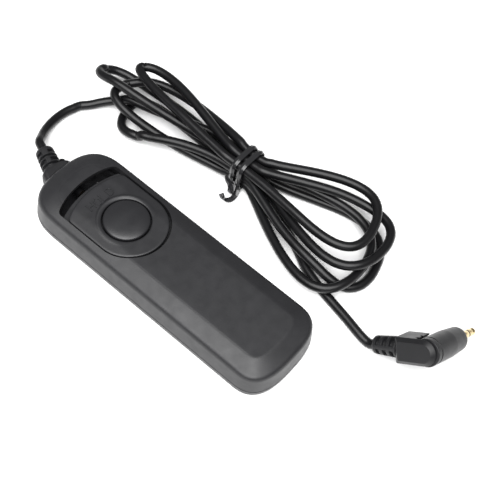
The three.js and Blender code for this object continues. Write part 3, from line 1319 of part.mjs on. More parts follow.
for (const post of SHELL_SCREW_POSTS) {
  add(`shell_screw_${post.name}`, shellScrew(post), plainSteel);
}
add('cable_clip', cableClip(), blackPlastic);
add('inner_cord_end', innerCordEnd(), cordVinyl);
add('handset_strain_relief', handsetRelief(), softRubber);
const LEADS = [
  { which: 'focus', startX: -LEAD_SPACING, lane: -LEAD_LANE, swing: 0, tabX: -TAB_OFFSET },
  { which: 'release', startX: LEAD_SPACING, lane: LEAD_LANE, swing: 0, tabX: TAB_OFFSET },
  { which: 'common', startX: 0, lane: OUTER_LEAD_LANE, swing: 2 * LEAD_DIAMETER, tabX: 0 },
];
for (const { which, startX, lane, swing, tabX } of LEADS) {
  add(`lead_wire_${which}`, leadWire(startX, lane, swing, tabX, which), cordVinyl);
}
add('cord_from_handset', cordBetween(reliefExit(), CORD_WAY_OUT, hankEnd(0), 20), cordVinyl);
add('cord_hank', hankGeometry(), cordVinyl);
add('twist_tie', twistTie(), tieCoat);
add('cord_to_plug', cordBetween(hankEnd(-1), CORD_WAY_TO_PLUG, plugEntry(), 10), cordVinyl);
add('plug_strain_relief', plugPlace(plugRelief()), softRubber);
add('plug_housing', plugPlace(plugHousing()), blackPlastic);
add('plug_disc', plugPlace(plugDisc()), blackPlastic);
add('plug_barrel', plugPlace(plugBarrel()), blackPlastic);
for (const [name, solid] of Object.entries(pinPieces())) {
  add(name, plugPlace(solid), name.includes('insulator') ? pinInsulator : goldPlate);
}

export default group;
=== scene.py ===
# %% [markdown]
# # A wired remote shutter release
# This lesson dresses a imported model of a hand-held shutter release: a charcoal handset with a
# round button on a hold slider, and a cord folded into a tied hank that ends in a small
# right-angle plug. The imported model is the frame: it says where each piece is and what moves.
# All sizes are in metres, so a size in millimetres is written as a number times `MM`.

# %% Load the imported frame
import json
import math

import bmesh
import bpy
from mathutils import Matrix, Vector


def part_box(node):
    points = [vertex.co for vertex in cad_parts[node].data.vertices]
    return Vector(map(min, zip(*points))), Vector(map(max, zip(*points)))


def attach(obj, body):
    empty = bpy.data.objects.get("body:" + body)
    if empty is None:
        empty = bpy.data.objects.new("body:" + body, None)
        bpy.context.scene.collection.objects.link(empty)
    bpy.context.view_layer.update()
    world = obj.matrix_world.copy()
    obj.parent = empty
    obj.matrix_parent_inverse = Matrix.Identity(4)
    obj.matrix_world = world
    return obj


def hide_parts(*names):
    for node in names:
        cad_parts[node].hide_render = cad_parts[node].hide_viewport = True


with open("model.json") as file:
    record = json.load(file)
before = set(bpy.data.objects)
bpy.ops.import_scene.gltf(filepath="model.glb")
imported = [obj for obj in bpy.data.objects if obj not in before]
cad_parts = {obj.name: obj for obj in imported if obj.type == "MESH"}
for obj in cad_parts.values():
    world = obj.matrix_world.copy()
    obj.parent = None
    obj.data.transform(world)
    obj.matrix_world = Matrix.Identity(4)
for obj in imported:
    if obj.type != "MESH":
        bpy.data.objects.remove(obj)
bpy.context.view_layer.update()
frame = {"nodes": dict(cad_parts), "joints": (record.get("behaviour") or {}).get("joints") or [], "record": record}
NODES = frame["nodes"]
MM = 0.001

# %% [markdown]
# The camera comes first. It stands above the near left side of the handset and is rolled a
# little, so that the handset lies along the diagonal of the square picture. It is described by
# the point it looks at, its distance, and three angles.

# %% Place the camera
CAMERA_TARGET = (25.35 * MM, -12.61 * MM, 0)
CAMERA_DISTANCE = 335.8 * MM
CAMERA_AZIMUTH = math.radians(-60.08)
CAMERA_ELEVATION = math.radians(57.79)
CAMERA_ROLL = math.radians(12)
CAMERA_LENS = 73.0  # millimetres, for a sensor 36 millimetres wide


def add_object(name, data):
    made = bpy.data.objects.new(name, data)
    bpy.context.scene.collection.objects.link(made)
    return made


camera_data = bpy.data.cameras.new("camera")
camera_data.lens = CAMERA_LENS
camera_data.sensor_width = 36
camera = add_object("camera", camera_data)
turn = (Matrix.Rotation(CAMERA_AZIMUTH, 4, "Z")
        @ Matrix.Rotation(math.pi / 2 - CAMERA_ELEVATION, 4, "X")
        @ Matrix.Rotation(CAMERA_ROLL, 4, "Z"))
back_off = Matrix.Translation((0, 0, CAMERA_DISTANCE))
camera.matrix_world = Matrix.Translation(CAMERA_TARGET) @ turn @ back_off
bpy.context.scene.camera = camera
print("camera at", [round(value, 3) for value in camera.location])

# %% [markdown]
# Moulded plastic is never quite even. Pictures could show that, but a procedural recipe on
# object coordinates has no seams and a real size. All surfaces share one: a slow noise shifts the
# colour, a finer one the roughness, and the finest is the moulded grain, raised with a bump.

# %% The recipe, and the five soft dark finishes
NOISE_LOW, NOISE_HIGH = 0.3, 0.7  # nearly all of a noise lies between these
MATERIALS = {}  # by the slot that the frame gives each piece


def add_node(tree, kind, **inputs):
    """A new node; each input gets a value, or a link where a socket is given."""
    node = tree.nodes.new("ShaderNode" + kind)
    for name, value in inputs.items():
        socket = node.inputs[name.replace("_", " ")]
        if isinstance(value, bpy.types.NodeSocket):
            tree.links.new(value, socket)
        else:
            socket.default_value = value
    return node


def surface(slot, name, colour, roughness, grain, depth, patch=9 * MM, mottle=0.12,
            metallic=0.0, shine=0.5):
    """The shared recipe: colour drift, roughness drift and a grain of the given size."""
    material = bpy.data.materials.new(name)
    material.use_nodes = True
    tree = material.node_tree
    shader = tree.nodes["Principled BSDF"]
    coordinates = add_node(tree, "TexCoord").outputs["Object"]

    def noise(size, detail):
        return add_node(tree, "TexNoise", Vector=coordinates, Scale=1 / size,
                        Detail=detail).outputs["Fac"]

    def spread(value, low, high):
        return add_node(tree, "MapRange", Value=value, From_Min=NOISE_LOW, From_Max=NOISE_HIGH,
                        To_Min=low, To_Max=high).outputs["Result"]

    mix = add_node(tree, "Mix", Factor=spread(noise(patch, 3), 0, 1))
    mix.data_type = "RGBA"
    for socket, share in ((6, 1 - mottle), (7, 1 + mottle)):  # the two colours
        mix.inputs[socket].default_value = (*(channel * share for channel in colour), 1)
    tree.links.new(mix.outputs[2], shader.inputs["Base Color"])
    polish = spread(noise(patch * 0.35, 4), roughness * 0.9, roughness * 1.12)
    tree.links.new(polish, shader.inputs["Roughness"])
    bump = add_node(tree, "Bump", Height=noise(grain, 2), Distance=depth)
    tree.links.new(bump.outputs["Normal"], shader.inputs["Normal"])
    shader.inputs["Metallic"].default_value = metallic
    shader.inputs["Specular IOR Level"].default_value = shine
    MATERIALS[slot] = material


surface("case_plastic", "charcoal_grained_plastic", (0.011, 0.011, 0.0125), 0.44, 0.35 * MM,
        0.012 * MM, shine=0.46)
surface("button_plastic", "satin_button_plastic", (0.01, 0.01, 0.0115), 0.38, 0.5 * MM,
        0.004 * MM, shine=0.46)
surface("plug_plastic", "dark_plug_plastic", (0.008, 0.008, 0.009), 0.42, 0.3 * MM, 0.006 * MM,
        shine=0.32)
surface("cord_vinyl", "black_cord_vinyl", (0.004, 0.004, 0.0045), 0.32, 0.6 * MM, 0.006 * MM,
        shine=0.27)
surface("soft_rubber", "matte_black_rubber", (0.007, 0.007, 0.008), 0.5, 0.25 * MM, 0.008 * MM,
        shine=0.36)
print("mixed", ", ".join(MATERIALS))

# %% [markdown]
# The cord is one vinyl line from the handset, through the whole hank, to the plug. It could be
# drawn by hand, but its way is already in the frame, as three rough tubes made of rings of
# vertices. The middles of the rings, walked from end to end, are the centre line.

# %% Read the centre lines of the rough tubes
CORD_RADIUS = 1.6 * MM
RELIEF_YAW = math.radians(-23)
RELIEF_LENGTH = 9.8 * MM
RELIEF_START = Vector((0, 52.5 * MM, 5.8 * MM))
ROUGH_TUBES = (("cord_from_handset", 8), ("cord_hank", 6), ("cord_to_plug", 8))  # and their sides
CORD_TUCK = 2.5 * MM  # how far the cord runs on into both reliefs
relief_along = Vector((-math.sin(RELIEF_YAW), math.cos(RELIEF_YAW), 0))
relief_end = RELIEF_START + relief_along * RELIEF_LENGTH


def ring_centres(node, start, sides):
    """The middle of each ring of a tube's vertices, from the ring nearest to start."""
    bm = bmesh.new()
    bm.from_mesh(NODES[node].data)
    bmesh.ops.remove_doubles(bm, verts=bm.verts, dist=1e-6)
    bm.verts.index_update()
    ring = sorted(bm.verts, key=lambda vert: (vert.co - start).length)[:sides]
    seen = set(ring)
    centres = []
    while ring:
        centres.append(sum((vert.co for vert in ring), Vector()) / len(ring))
        following = {edge.other_vert(vert) for vert in ring for edge in vert.link_edges} - seen
        seen |= following
        ring = sorted(following, key=lambda vert: vert.index)
    bm.free()
    return centres


def path_length(points):
    return sum((b - a).length for a, b in zip(points, points[1:]))


cord_line = []
reached = relief_end
for node, sides in ROUGH_TUBES:
    part = ring_centres(node, reached, sides)
    reached = part[-1]
    cord_line += part
first, last = cord_line[0], cord_line[-1]
cord_line.insert(0, first + (first - cord_line[1]).normalized() * CORD_TUCK)
cord_line.append(last + (last - cord_line[-2]).normalized() * CORD_TUCK)
print(f"cord: {len(cord_line)} points, {path_length(cord_line) / MM:.0f} mm")

# %% [markdown]
# A loft through the rings would keep their few flat sides. A curve with a round bevel stays
# smooth and round through every bend, and one curve leaves no seam between the three tubes.

# %% Draw the cord as one round line
def round_line(name, points, radius, slot, replaced):
    """A smooth round line through the points, closed at both ends, for the nodes it replaces."""
    curve = bpy.data.curves.new(name, "CURVE")
    curve.dimensions = "3D"
    curve.bevel_depth = radius
    curve.bevel_resolution = 6
    curve.resolution_u = 3
    curve.use_fill_caps = True
    spline = curve.splines.new("BEZIER")
    spline.bezier_points.add(len(points) - 1)
    for knot, point in zip(spline.bezier_points, points):
        knot.co = point
        knot.handle_left_type = "AUTO"
        knot.handle_right_type = "AUTO"
    curve.materials.append(MATERIALS[slot])
    line = add_object(name, curve)
    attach(line, "handset")
    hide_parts(*replaced)
    return line


cord = round_line("cord", cord_line, CORD_RADIUS, "cord_vinyl", [tube for tube, _ in ROUGH_TUBES])
print("drew the cord")

# %% [markdown]
# Inside the handset the cord ends in a clip, and three thin wires run from it to the contacts.
# They show only through the slider's opening, and are drawn in the same way as the cord.

# %% The hidden end of the cord and its wires
surface("lead_insulation", "black_wire_insulation", (0.03, 0.03, 0.03), 0.45, 0.4 * MM, 0.006 * MM)
LEAD_SIDES = 6
LEAD_RADIUS = 0.4 * MM

low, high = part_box("inner_cord_end")
inner_line = [Vector((0, y, (low.z + high.z) / 2)) for y in (low.y, (low.y + high.y) / 2, high.y)]
round_line("inner_cord", inner_line, CORD_RADIUS, "cord_vinyl", ["inner_cord_end"])
for which in ("focus", "release", "common"):
    node = f"lead_wire_{which}"
    low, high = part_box(node)
    start = Vector(((low.x + high.x) / 2, high.y, (low.z + high.z) / 2))
    round_line(f"wire_{which}", ring_centres(node, start, LEAD_SIDES), LEAD_RADIUS,
               "lead_insulation", [node])
print("drew the inner cord and three wires")

# %% [markdown]
# Moulded shells and grips change their section along the way. They could be boxes with rounded
# edges, but a loft follows them better: one ring of vertices is extruded again and again, and
# each copy is moved to the next section. A round piece is a profile spun about an axis.

# %% Lofts and spins
def ring_edges(bm, ring):
    """The edges that join the vertices of a ring, in turn."""
    return [bm.edges.get(pair) or bm.edges.new(pair) for pair in zip(ring, ring[1:] + ring[:1])]


def next_ring(bm, ring, points):
    """Extrudes a ring and moves each new vertex to its own point, so that nothing can twist."""
    made = bmesh.ops.extrude_edge_only(bm, edges=ring_edges(bm, ring))["geom"]
    fresh = {item for item in made if isinstance(item, bmesh.types.BMVert)}
    following = []
    for vert, point in zip(ring, points):
        above = next(edge.other_vert(vert) for edge in vert.link_edges
                     if edge.other_vert(vert) in fresh)
        above.co = point
        following.append(above)
    return following


def mesh_object(name, bm, place=Matrix()):
    """A new object with the mesh, moved to its place, its normals outward."""
    bmesh.ops.transform(bm, matrix=place, verts=bm.verts)
    bmesh.ops.recalc_face_normals(bm, faces=bm.faces)
    if bm.calc_volume(signed=True) < 0:
        bmesh.ops.reverse_faces(bm, faces=bm.faces)
    mesh = bpy.data.meshes.new(name)
    bm.to_mesh(mesh)
    bm.free()
    return add_object(name, mesh)


def loft(name, rings, closed=False):
    """Walls between following rings, and a face over each end, or back to the first ring."""
    bm = bmesh.new()
    first = [bm.verts.new(point) for point in rings[0]]
    last = first
    for points in rings[1:]:
        last = next_ring(bm, last, points)
    if closed:
        doubles = next_ring(bm, last, rings[0])
        bmesh.ops.weld_verts(bm, targetmap=dict(zip(doubles, first)))
    else:
        for end in (first, last):
            lid = bmesh.ops.contextual_create(bm, geom=ring_edges(bm, end))["faces"]
            bmesh.ops.triangulate(bm, faces=lid)
    return mesh_object(name, bm)


def spin(name, profile, place, steps=64):
    """A round solid about the local Z axis, from (radius, height) pairs."""
    bm = bmesh.new()
    verts = [bm.verts.new((radius, 0, height)) for radius, height in profile]
    edges = [bm.edges.new(pair) for pair in zip(verts, verts[1:])]
    bmesh.ops.spin(bm, geom=verts + edges, axis=(0, 0, 1), cent=(0, 0, 0),
                   angle=2 * math.pi, steps=steps, use_merge=True)
    bmesh.ops.remove_doubles(bm, verts=bm.verts, dist=1e-7)
    return mesh_object(name, bm, place)


print("ready to loft and spin")

# %% [markdown]
# Edges of moulded pieces are soft. Where the profile of a piece is known, its corners are rounded
# in the profile itself, which is cleaner than a bevel on the finished mesh.

# %% Rounded profiles
def corner_arc(before, corner, after, radius, steps):
    """Points that round one corner; an arc takes less than half of the shorter side."""
    before, corner, after = Vector(before), Vector(corner), Vector(after)
    one, two = (before - corner).normalized(), (after - corner).normalized()
    longest = 0.49 * min((before - corner).length, (after - corner).length)
    reach = min(radius / math.tan(one.angle(two) / 2), longest)
    start, stop = corner + one * reach, corner + two * reach
    made = []
    for step in range(steps + 1):
        t = step / steps
        made.append(tuple(start * (1 - t) ** 2 + corner * 2 * t * (1 - t) + stop * t * t))
    return made


def rounded(profile, radii, steps):
    """A flat profile with its inner corners rounded; radii maps a corner's number to its radius."""
    made = []
    for number, point in enumerate(profile):
        if number in radii:
            made += corner_arc(profile[number - 1], point, profile[number + 1],
                               radii[number], steps)
        else:
            made.append(tuple(point))
    return made


print("ready to round profiles")

# %% [markdown]
# Slots, windows and screw wells are cut with a tool shape, as a mill would. Building the holes
# into the mesh would give cleaner faces, but a cut keeps each size in one place. What it leaves
# sharp gets a narrow bevel.

# %% Cuts and soft edges
def apply_modifiers(piece):
    """Keeps what the modifiers make as the piece's own mesh."""
    shown = piece.evaluated_get(bpy.context.evaluated_depsgraph_get())
    mesh = bpy.data.meshes.new_from_object(shown)
    piece.modifiers.clear()
    piece.data = mesh


def combine(piece, tool, operation="DIFFERENCE"):
    """Cuts the piece with a tool, or melts the two together, and removes the tool."""
    boolean = piece.modifiers.new("tool", "BOOLEAN")
    boolean.operation = operation
    boolean.solver = "MANIFOLD"
    boolean.object = tool
    apply_modifiers(piece)
    bpy.data.objects.remove(tool)


def soften(piece, width):
    """Small rounded edges wherever two faces meet at more than 50 degrees."""
    bevel = piece.modifiers.new("edges", "BEVEL")
    bevel.width = width
    bevel.segments = 2
    bevel.limit_method = "ANGLE"
    bevel.angle_limit = math.radians(50)
    bevel.use_clamp_overlap = True
    apply_modifiers(piece)


print("ready to cut and soften")

# %% [markdown]
# A finished piece is shaded smooth between its sharp edges, and large faces lead the normals, so
# that narrow bevels look round. It then takes over from one of the frame's own solids.

# %% Dress a finished piece
def dress(piece, slot, node, body="handset", sharp=35):
    """Shades the piece, gives it its material and its body, and hides the node it stands for."""
    piece.data.materials.clear()
    piece.data.materials.append(MATERIALS[slot])
    for face in piece.data.polygons:
        face.use_smooth = True
    piece.data.set_sharp_from_angle(angle=math.radians(sharp))
    weighted = piece.modifiers.new("flat_faces_lead", "WEIGHTED_NORMAL")
    weighted.keep_sharp = True
    apply_modifiers(piece)
    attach(piece, body)
    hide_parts(node)
    print("made", piece.name, "with", len(piece.data.polygons), "faces")


print("ready to dress pieces")

# %% [markdown]
# The handset is two shells with one plan: straight sides and ends that are superellipses, a
# little squarer than circles. Moving the plan in by an inset and lifting it to a height gives
# one ring of a shell. Circles for ends would look too soft, and a bevelled box has no such ends.

# %% The plan of the handset
low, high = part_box("top_shell")
HALF_LENGTH = -low.y
HALF_WIDTH = high.x
CROWN_HEIGHT = high.z
HEAD_ROUNDING = 15 * MM
TAIL_ROUNDING = 11 * MM
END_SQUARENESS = 2.8
QUARTER_STEPS = 22
FIT_GAP = 0.3 * MM
SHELL_WALL = 1.8 * MM
EDGE_CHAMFER = 0.1 * MM


def clamp(value):
    return min(1.0, max(0.0, value))


def smooth_step(value, start, stop):
    t = clamp((value - start) / (stop - start))
    return t * t * (3 - 2 * t)


def squarish(value, squareness):
    """A sine or cosine, bent so that the circle it draws gets squarer."""
    return math.copysign(abs(value) ** (2 / squareness), value)


def handset_plan(inset):
    """The handset's outline, moved in; the points crowd where the ends meet the sides."""
    points = []
    for end, rounding in ((1, HEAD_ROUNDING), (-1, TAIL_ROUNDING)):
        for quarter in (0, 1):
            for step in range(QUARTER_STEPS + 1 - quarter):
                t = (step + quarter) / QUARTER_STEPS
                angle = (quarter + smooth_step(t, 0, 1)) * math.pi / 2
                side = squarish(math.cos(angle), END_SQUARENESS)
                along = squarish(math.sin(angle), END_SQUARENESS)
                reach = HALF_LENGTH - rounding + (rounding - inset) * along
                points.append((end * (HALF_WIDTH - inset) * side, end * reach))
    return points


def ring_at(points, height):
    return [(x, y, height) for x, y in points]


def shell_rings(profile):
    """Rings of the handset's plan from (height, inset) pairs."""
    return [ring_at(handset_plan(inset), height) for height, inset in profile]


print("the plan has", len(handset_plan(0)), "points")

# %% [markdown]
# Along the body the top is a flat with a sloping margin on each side. At the head the margin
# melts into one smooth crown. Two lofts would meet in a seam there, so it is one loft, and its
# rings are lifted more and more towards the head.

# %% The top shell's heights
PARTING_HEIGHT = 3 * MM
SHOULDER_HEIGHT = 10.2 * MM
SHOULDER_ROUNDING = 2.2 * MM
SIDE_DRAFT = 0.7 * MM
MARGIN_WIDTH = 6.6 * MM  # from the wall in to the flat top
top_low = PARTING_HEIGHT + FIT_GAP / 2
HEAD_BLEND = (-2 * MM, 17 * MM)  # along the body, where the margin melts into the crown
CROWN_REACH = 8.8 * MM


def margin_height(inset):
    """The straight margin, from the shoulder up to the flat."""
    run = (inset - SIDE_DRAFT) / (MARGIN_WIDTH - SIDE_DRAFT)
    return SHOULDER_HEIGHT + (CROWN_HEIGHT - SHOULDER_HEIGHT) * clamp(run)


def head_lift(inset, y):
    """What turns the margin into a smooth crown, from nothing at mid length to all at the head."""
    run = clamp((inset - SIDE_DRAFT) / (CROWN_REACH - SIDE_DRAFT))
    dome = CROWN_HEIGHT - (CROWN_HEIGHT - SHOULDER_HEIGHT) * (1 - run) ** 2
    return smooth_step(y, *HEAD_BLEND) * (dome - margin_height(inset))


print("the crown is", round((CROWN_HEIGHT - SHOULDER_HEIGHT) / MM, 1), "mm above the shoulder")

# %% The top shell
CREASE_ROUNDING = 4 * MM  # between the margin and the flat
SLOPE_INSETS, FLAT_INSETS = (3.8, 4.6, 5.4), (7.7, 8.8)  # millimetres; rings for the crown
inside = [
    (CROWN_HEIGHT - SHELL_WALL, MARGIN_WIDTH + 0.7 * MM),
    (SHOULDER_HEIGHT - 1.26 * MM, SIDE_DRAFT + 1.7 * MM),
    (top_low, SHELL_WALL),
]
slope = [(margin_height(inset * MM), inset * MM) for inset in SLOPE_INSETS]
flat = [(CROWN_HEIGHT, inset * MM) for inset in FLAT_INSETS]
outside = rounded([
    (top_low, EDGE_CHAMFER), (top_low + EDGE_CHAMFER, 0), (SHOULDER_HEIGHT, SIDE_DRAFT), *slope,
    (CROWN_HEIGHT, MARGIN_WIDTH), *flat,
], {2: SHOULDER_ROUNDING, 3 + len(slope): CREASE_ROUNDING}, 8)
outside_rings = [[(x, y, z + head_lift(inset, y)) for x, y, z in ring]
                 for ring, (_, inset) in zip(shell_rings(outside), outside)]
top_shell = loft("handset_top", shell_rings(inside) + outside_rings)
print("lofted the top shell")

# %% [markdown]
# The slider lies in an opening of the top shell. The opening is the slider's own outline, a
# little larger, and longer at the head so that there is room for the slider to travel. Both come
# from one function, so they stay parallel when a size changes.

# %% The slider's outline
low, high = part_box("release_button")
BUTTON_Y = (low.y + high.y) / 2
SLIDER_HALF_WIDTH = 12.6 * MM
SLIDER_TAIL = 14 * MM
SLIDER_HEAD = 16.4 * MM
HEAD_BOW = 2.8 * MM
SLIDER_TRAVEL = frame["joints"][0]["range_m"][1]
RUN_GAP = 0.45 * MM
WING_BOTTOM = 8 * MM
HEAD_CORNER = 2.8 * MM
TAIL_ROOM = 0.5 * MM
ARC_STEPS = 36
SIDE_STEPS = 8
HEAD_STEPS = 24
CORNER_STEPS = 9


def slider_plan(grow, tail_shift=0.0, head_shift=0.0):
    """Round tail end, straight sides and a bowed head edge, grown or shrunk by an amount."""
    half = SLIDER_HALF_WIDTH + grow
    tail_centre = BUTTON_Y - SLIDER_TAIL + SLIDER_HALF_WIDTH - tail_shift
    head_corner = BUTTON_Y + SLIDER_HEAD - HEAD_BOW + grow + head_shift
    reach = 1 - HEAD_CORNER / half
    side_end = head_corner - HEAD_CORNER

    def head_edge(across):
        return half * across, head_corner + HEAD_BOW * (1 - across * across)

    right = corner_arc((half, side_end - HEAD_CORNER), (half, head_corner), head_edge(reach),
                       9 * HEAD_CORNER, CORNER_STEPS)
    tail = []
    for step in range(ARC_STEPS + 1):
        angle = math.pi * (1 + step / ARC_STEPS)
        tail.append((half * math.cos(angle), tail_centre + half * math.sin(angle)))
    straight = right[0][1] - tail_centre
    right = [(half, tail_centre + straight * step / SIDE_STEPS)
             for step in range(1, SIDE_STEPS)] + right
    last = right[-1][0] / half
    head = [head_edge(last * (1 - 2 * step / HEAD_STEPS)) for step in range(1, HEAD_STEPS)]
    return tail + right + head + [(-x, y) for x, y in reversed(right)]


print("the slider's outline has", len(slider_plan(0)), "points")

# %% [markdown]
# The opening is cut in two steps. Under the top wall it steps back at the head, so that the gap
# there is deep and stays dark.

# %% The opening for the slider
RECESS_STEP = 0.8 * MM
RECESS_TOP = CROWN_HEIGHT - 1.2 * MM
RECESS_SIDE = RUN_GAP - 0.05 * MM  # a little in from the opening, so that no walls coincide


def prism(name, outline, bottom, top):
    return loft(name, [ring_at(outline, bottom), ring_at(outline, top)])


combine(top_shell, prism("opening", slider_plan(RUN_GAP, TAIL_ROOM, SLIDER_TRAVEL),
                         WING_BOTTOM, CROWN_HEIGHT + MM))
combine(top_shell, prism("recess", slider_plan(RECESS_SIDE, 0, SLIDER_TRAVEL + RECESS_STEP),
                         WING_BOTTOM, RECESS_TOP))
print("opened the top shell for the slider")

# %% [markdown]
# The strain relief is gripped between the shells at the head, so both get the same notch, a
# slot for its neck. The relief's flange stands behind the wall and can't be pulled out.

# %% The notch for the strain relief
GLAND_HEIGHT = 5.8 * MM
NECK_WIDTH, NECK_HEIGHT = 7 * MM, 5.8 * MM
FLANGE_WIDTH, FLANGE_HEIGHT, FLANGE_THICKNESS = 9.4 * MM, 6 * MM, 1.2 * MM
NECK_BACK = HALF_LENGTH - SHELL_WALL - 3 * FIT_GAP


def block(name, size, centre):
    bm = bmesh.new()
    bmesh.ops.create_cube(bm, size=1)
    return mesh_object(name, bm, Matrix.Translation(centre) @ Matrix.Diagonal((*size, 1)))


def cut_notch(shell):
    size = (NECK_WIDTH + 2 * FIT_GAP, 3 * SHELL_WALL, NECK_HEIGHT + 2 * FIT_GAP)
    combine(shell, block("neck_slot", size, (0, HALF_LENGTH, GLAND_HEIGHT)))


cut_notch(top_shell)
dress(top_shell, "case_plastic", "top_shell")

# %% [markdown]
# The bottom shell has a flat underside with a rounded edge, four screw wells, and a tongue that
# stands inside the top shell and closes the parting line. It is a loft of the same plan, so that
# both shells meet in one even line.

# %% The bottom shell
FOOT_ROUNDING = 1.4 * MM
FLOOR_THICKNESS = 1.6 * MM
TONGUE_WIDTH = 1.1 * MM
TONGUE_TOP = PARTING_HEIGHT + 1.2 * MM
bottom_high = PARTING_HEIGHT - FIT_GAP / 2
tongue_out = SHELL_WALL + FIT_GAP

bottom_profile = [
    (FLOOR_THICKNESS, tongue_out + TONGUE_WIDTH), (TONGUE_TOP, tongue_out + TONGUE_WIDTH),
    (TONGUE_TOP, tongue_out), (bottom_high, tongue_out), (bottom_high, EDGE_CHAMFER),
    (bottom_high - EDGE_CHAMFER, 0),
    *rounded([(bottom_high - 0.2 * MM, 0.01 * MM), (0, 0.2 * MM), (0, 3 * MM)],
             {1: FOOT_ROUNDING}, 7),
]
bottom_shell = loft("handset_bottom", shell_rings(bottom_profile))
print("lofted the bottom shell")

# %% [markdown]
# A boss stands in the shell round each case screw. The screws are in the frame already, so each
# boss, its well and its hole take their place from a screw.

# %% The screw bosses
BOSS_RADIUS, SHANK_HOLE = 3.2 * MM, 1.25 * MM
WELL_RADIUS, WELL_TOP = 2.3 * MM, 1.9 * MM
BOSS_STEPS = 40
ROUND_PARTS = (  # radius, bottom, top and what it does to the shell
    (BOSS_RADIUS, FLOOR_THICKNESS / 2, TONGUE_TOP - 0.2 * MM, "UNION"),
    (WELL_RADIUS, -MM, WELL_TOP, "DIFFERENCE"), (SHANK_HOLE, 0, TONGUE_TOP, "DIFFERENCE"),
)
for node in (name for name in NODES if name.startswith("shell_screw_")):
    low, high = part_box(node)
    spot = Matrix.Translation(((low.x + high.x) / 2, (low.y + high.y) / 2, 0))
    for radius, bottom, top, operation in ROUND_PARTS:
        profile = [(0, bottom), (radius, bottom), (radius, top), (0, top)]
        combine(bottom_shell, spin("round_part", profile, spot, BOSS_STEPS), operation)
cut_notch(bottom_shell)
dress(bottom_shell, "case_plastic", "bottom_shell")

# %% [markdown]
# The slider's top is flat in the middle and falls towards both sides. A lip round the button
# stands highest on its head side and melts away towards the tail. Under the top a wing reaches
# out beneath the shell, which keeps the slider in and closes the opening behind it.

# %% The slider's top and its wing
SLIDER_TOP = 11.7 * MM
EDGE_DROP = 0.6 * MM
FLAT_HALF = 8.4 * MM
WING_TOP = WING_BOTTOM + 0.8 * MM
WING_GROWTH = RUN_GAP + 0.25 * MM
HEAD_LEDGE = 1.4 * MM
CREASE = 0.12  # half the width of the soft bend, as a share of the slope


def crown(x):
    """Height of the slider's top: flat in the middle, then sloping, with a soft crease."""
    beyond = (abs(x) - FLAT_HALF) / (SLIDER_HALF_WIDTH - FLAT_HALF)
    fall = max(0.0, beyond) if abs(beyond) > CREASE else (beyond + CREASE) ** 2 / (4 * CREASE)
    return SLIDER_TOP - EDGE_DROP * fall


def on_crown(points, above=0):
    return [(x, y, crown(x) + above) for x, y in points]


def wing_plan():
    """The wing's outline, kept off the shell's wall when the slider is at its head end."""
    inset = SIDE_DRAFT + SHELL_WALL + FIT_GAP
    made = []
    for x, y in slider_plan(WING_GROWTH, SLIDER_TRAVEL + MM, HEAD_LEDGE):
        beyond = y + SLIDER_TRAVEL - (HALF_LENGTH - HEAD_ROUNDING)
        share = min(0.999, max(0.0, beyond) / (HEAD_ROUNDING - inset))
        room = (HALF_WIDTH - inset) * (1 - share ** END_SQUARENESS) ** (1 / END_SQUARENESS)
        made.append((max(-room, min(room, x)), y))
    return made


print("the wing reaches", round(max(x for x, _ in wing_plan()) / MM, 1), "mm to each side")

# %% [markdown]
# Cutting a hole into a plate would leave a mesh that is hard to round. So the slider is one loft
# that goes right round its own section: up the hole for the button, over the lip, across the top,
# down the outer edge, out along the wing and back underneath. Below each edge it steps back, so
# that the gaps around it are deep and stay black.

# %% The hold slider
LIP_HEIGHT = 0.4 * MM
FLANGE_ROOM, FLANGE_SEAT = 9.25 * MM, 9.3 * MM
SPREAD_STEPS = 7
UNDERCUT = 0.7 * MM
EDGE_DEPTH = 0.9 * MM  # how deep an edge goes before the undercut
BELOW_EDGE = EDGE_DEPTH + 0.5 * MM
# Radius in millimetres, share of the lip's height, and millimetres below the top.
LIP_PROFILE = [(8.1, 0, 0.9), (8.1, 0, 0.2), (8.18, 0, 0.06), (8.5, 0.35, 0), (8.9, 0.8, 0),
               (9.1, 0.97, 0), (9.3, 1, 0), (9.5, 0.9, 0), (9.7, 0.5, 0), (9.9, 0.15, 0)]
LIP_UNDERSIDE, LIP_FOOT = 8.8 * MM, 10.2 * MM
EDGE_START = 0.45 * MM
EDGE_PROFILE = [(0.15, 0.08), (0.03, 0.22), (0, 0.45)]  # millimetres in from the edge and down


def circle(radius):
    """A circle about the button; each point faces one of the slider's outline."""
    made = []
    for x, y in slider_plan(0):
        away = Vector((x, y - BUTTON_Y)).normalized() * radius
        made.append((away.x, BUTTON_Y + away.y))
    return made


def lip(radius, share, sunk):
    """A ring of the lip: full height on the head side, none on the tail side."""
    made = []
    for x, y in circle(radius):
        towards_head = 0.5 + 0.5 * (y - BUTTON_Y) / radius
        made.append((x, y, crown(x) + LIP_HEIGHT * share * towards_head ** 2 - sunk))
    return made


rings = [ring_at(circle(FLANGE_ROOM), FLANGE_SEAT), lip(LIP_UNDERSIDE, 0, BELOW_EDGE)]
rings += [lip(radius * MM, share, sunk * MM) for radius, share, sunk in LIP_PROFILE]
shrunk = slider_plan(-EDGE_START)
for step in range(SPREAD_STEPS + 1):
    t = step / SPREAD_STEPS
    rings.append(on_crown([Vector(a).lerp(Vector(b), t) for a, b in zip(circle(LIP_FOOT), shrunk)]))
rings += [on_crown(slider_plan(-inset * MM), -drop * MM) for inset, drop in EDGE_PROFILE]
rings += [
    on_crown(slider_plan(0), -EDGE_DEPTH), on_crown(slider_plan(-UNDERCUT), -BELOW_EDGE),
    ring_at(slider_plan(-UNDERCUT), WING_TOP), ring_at(wing_plan(), WING_TOP),
    ring_at(wing_plan(), WING_BOTTOM), ring_at(circle(FLANGE_ROOM), WING_BOTTOM),
]
slider = loft("hold_slider_cap", rings, closed=True)
dress(slider, "case_plastic", "hold_slider", body="slider", sharp=50)

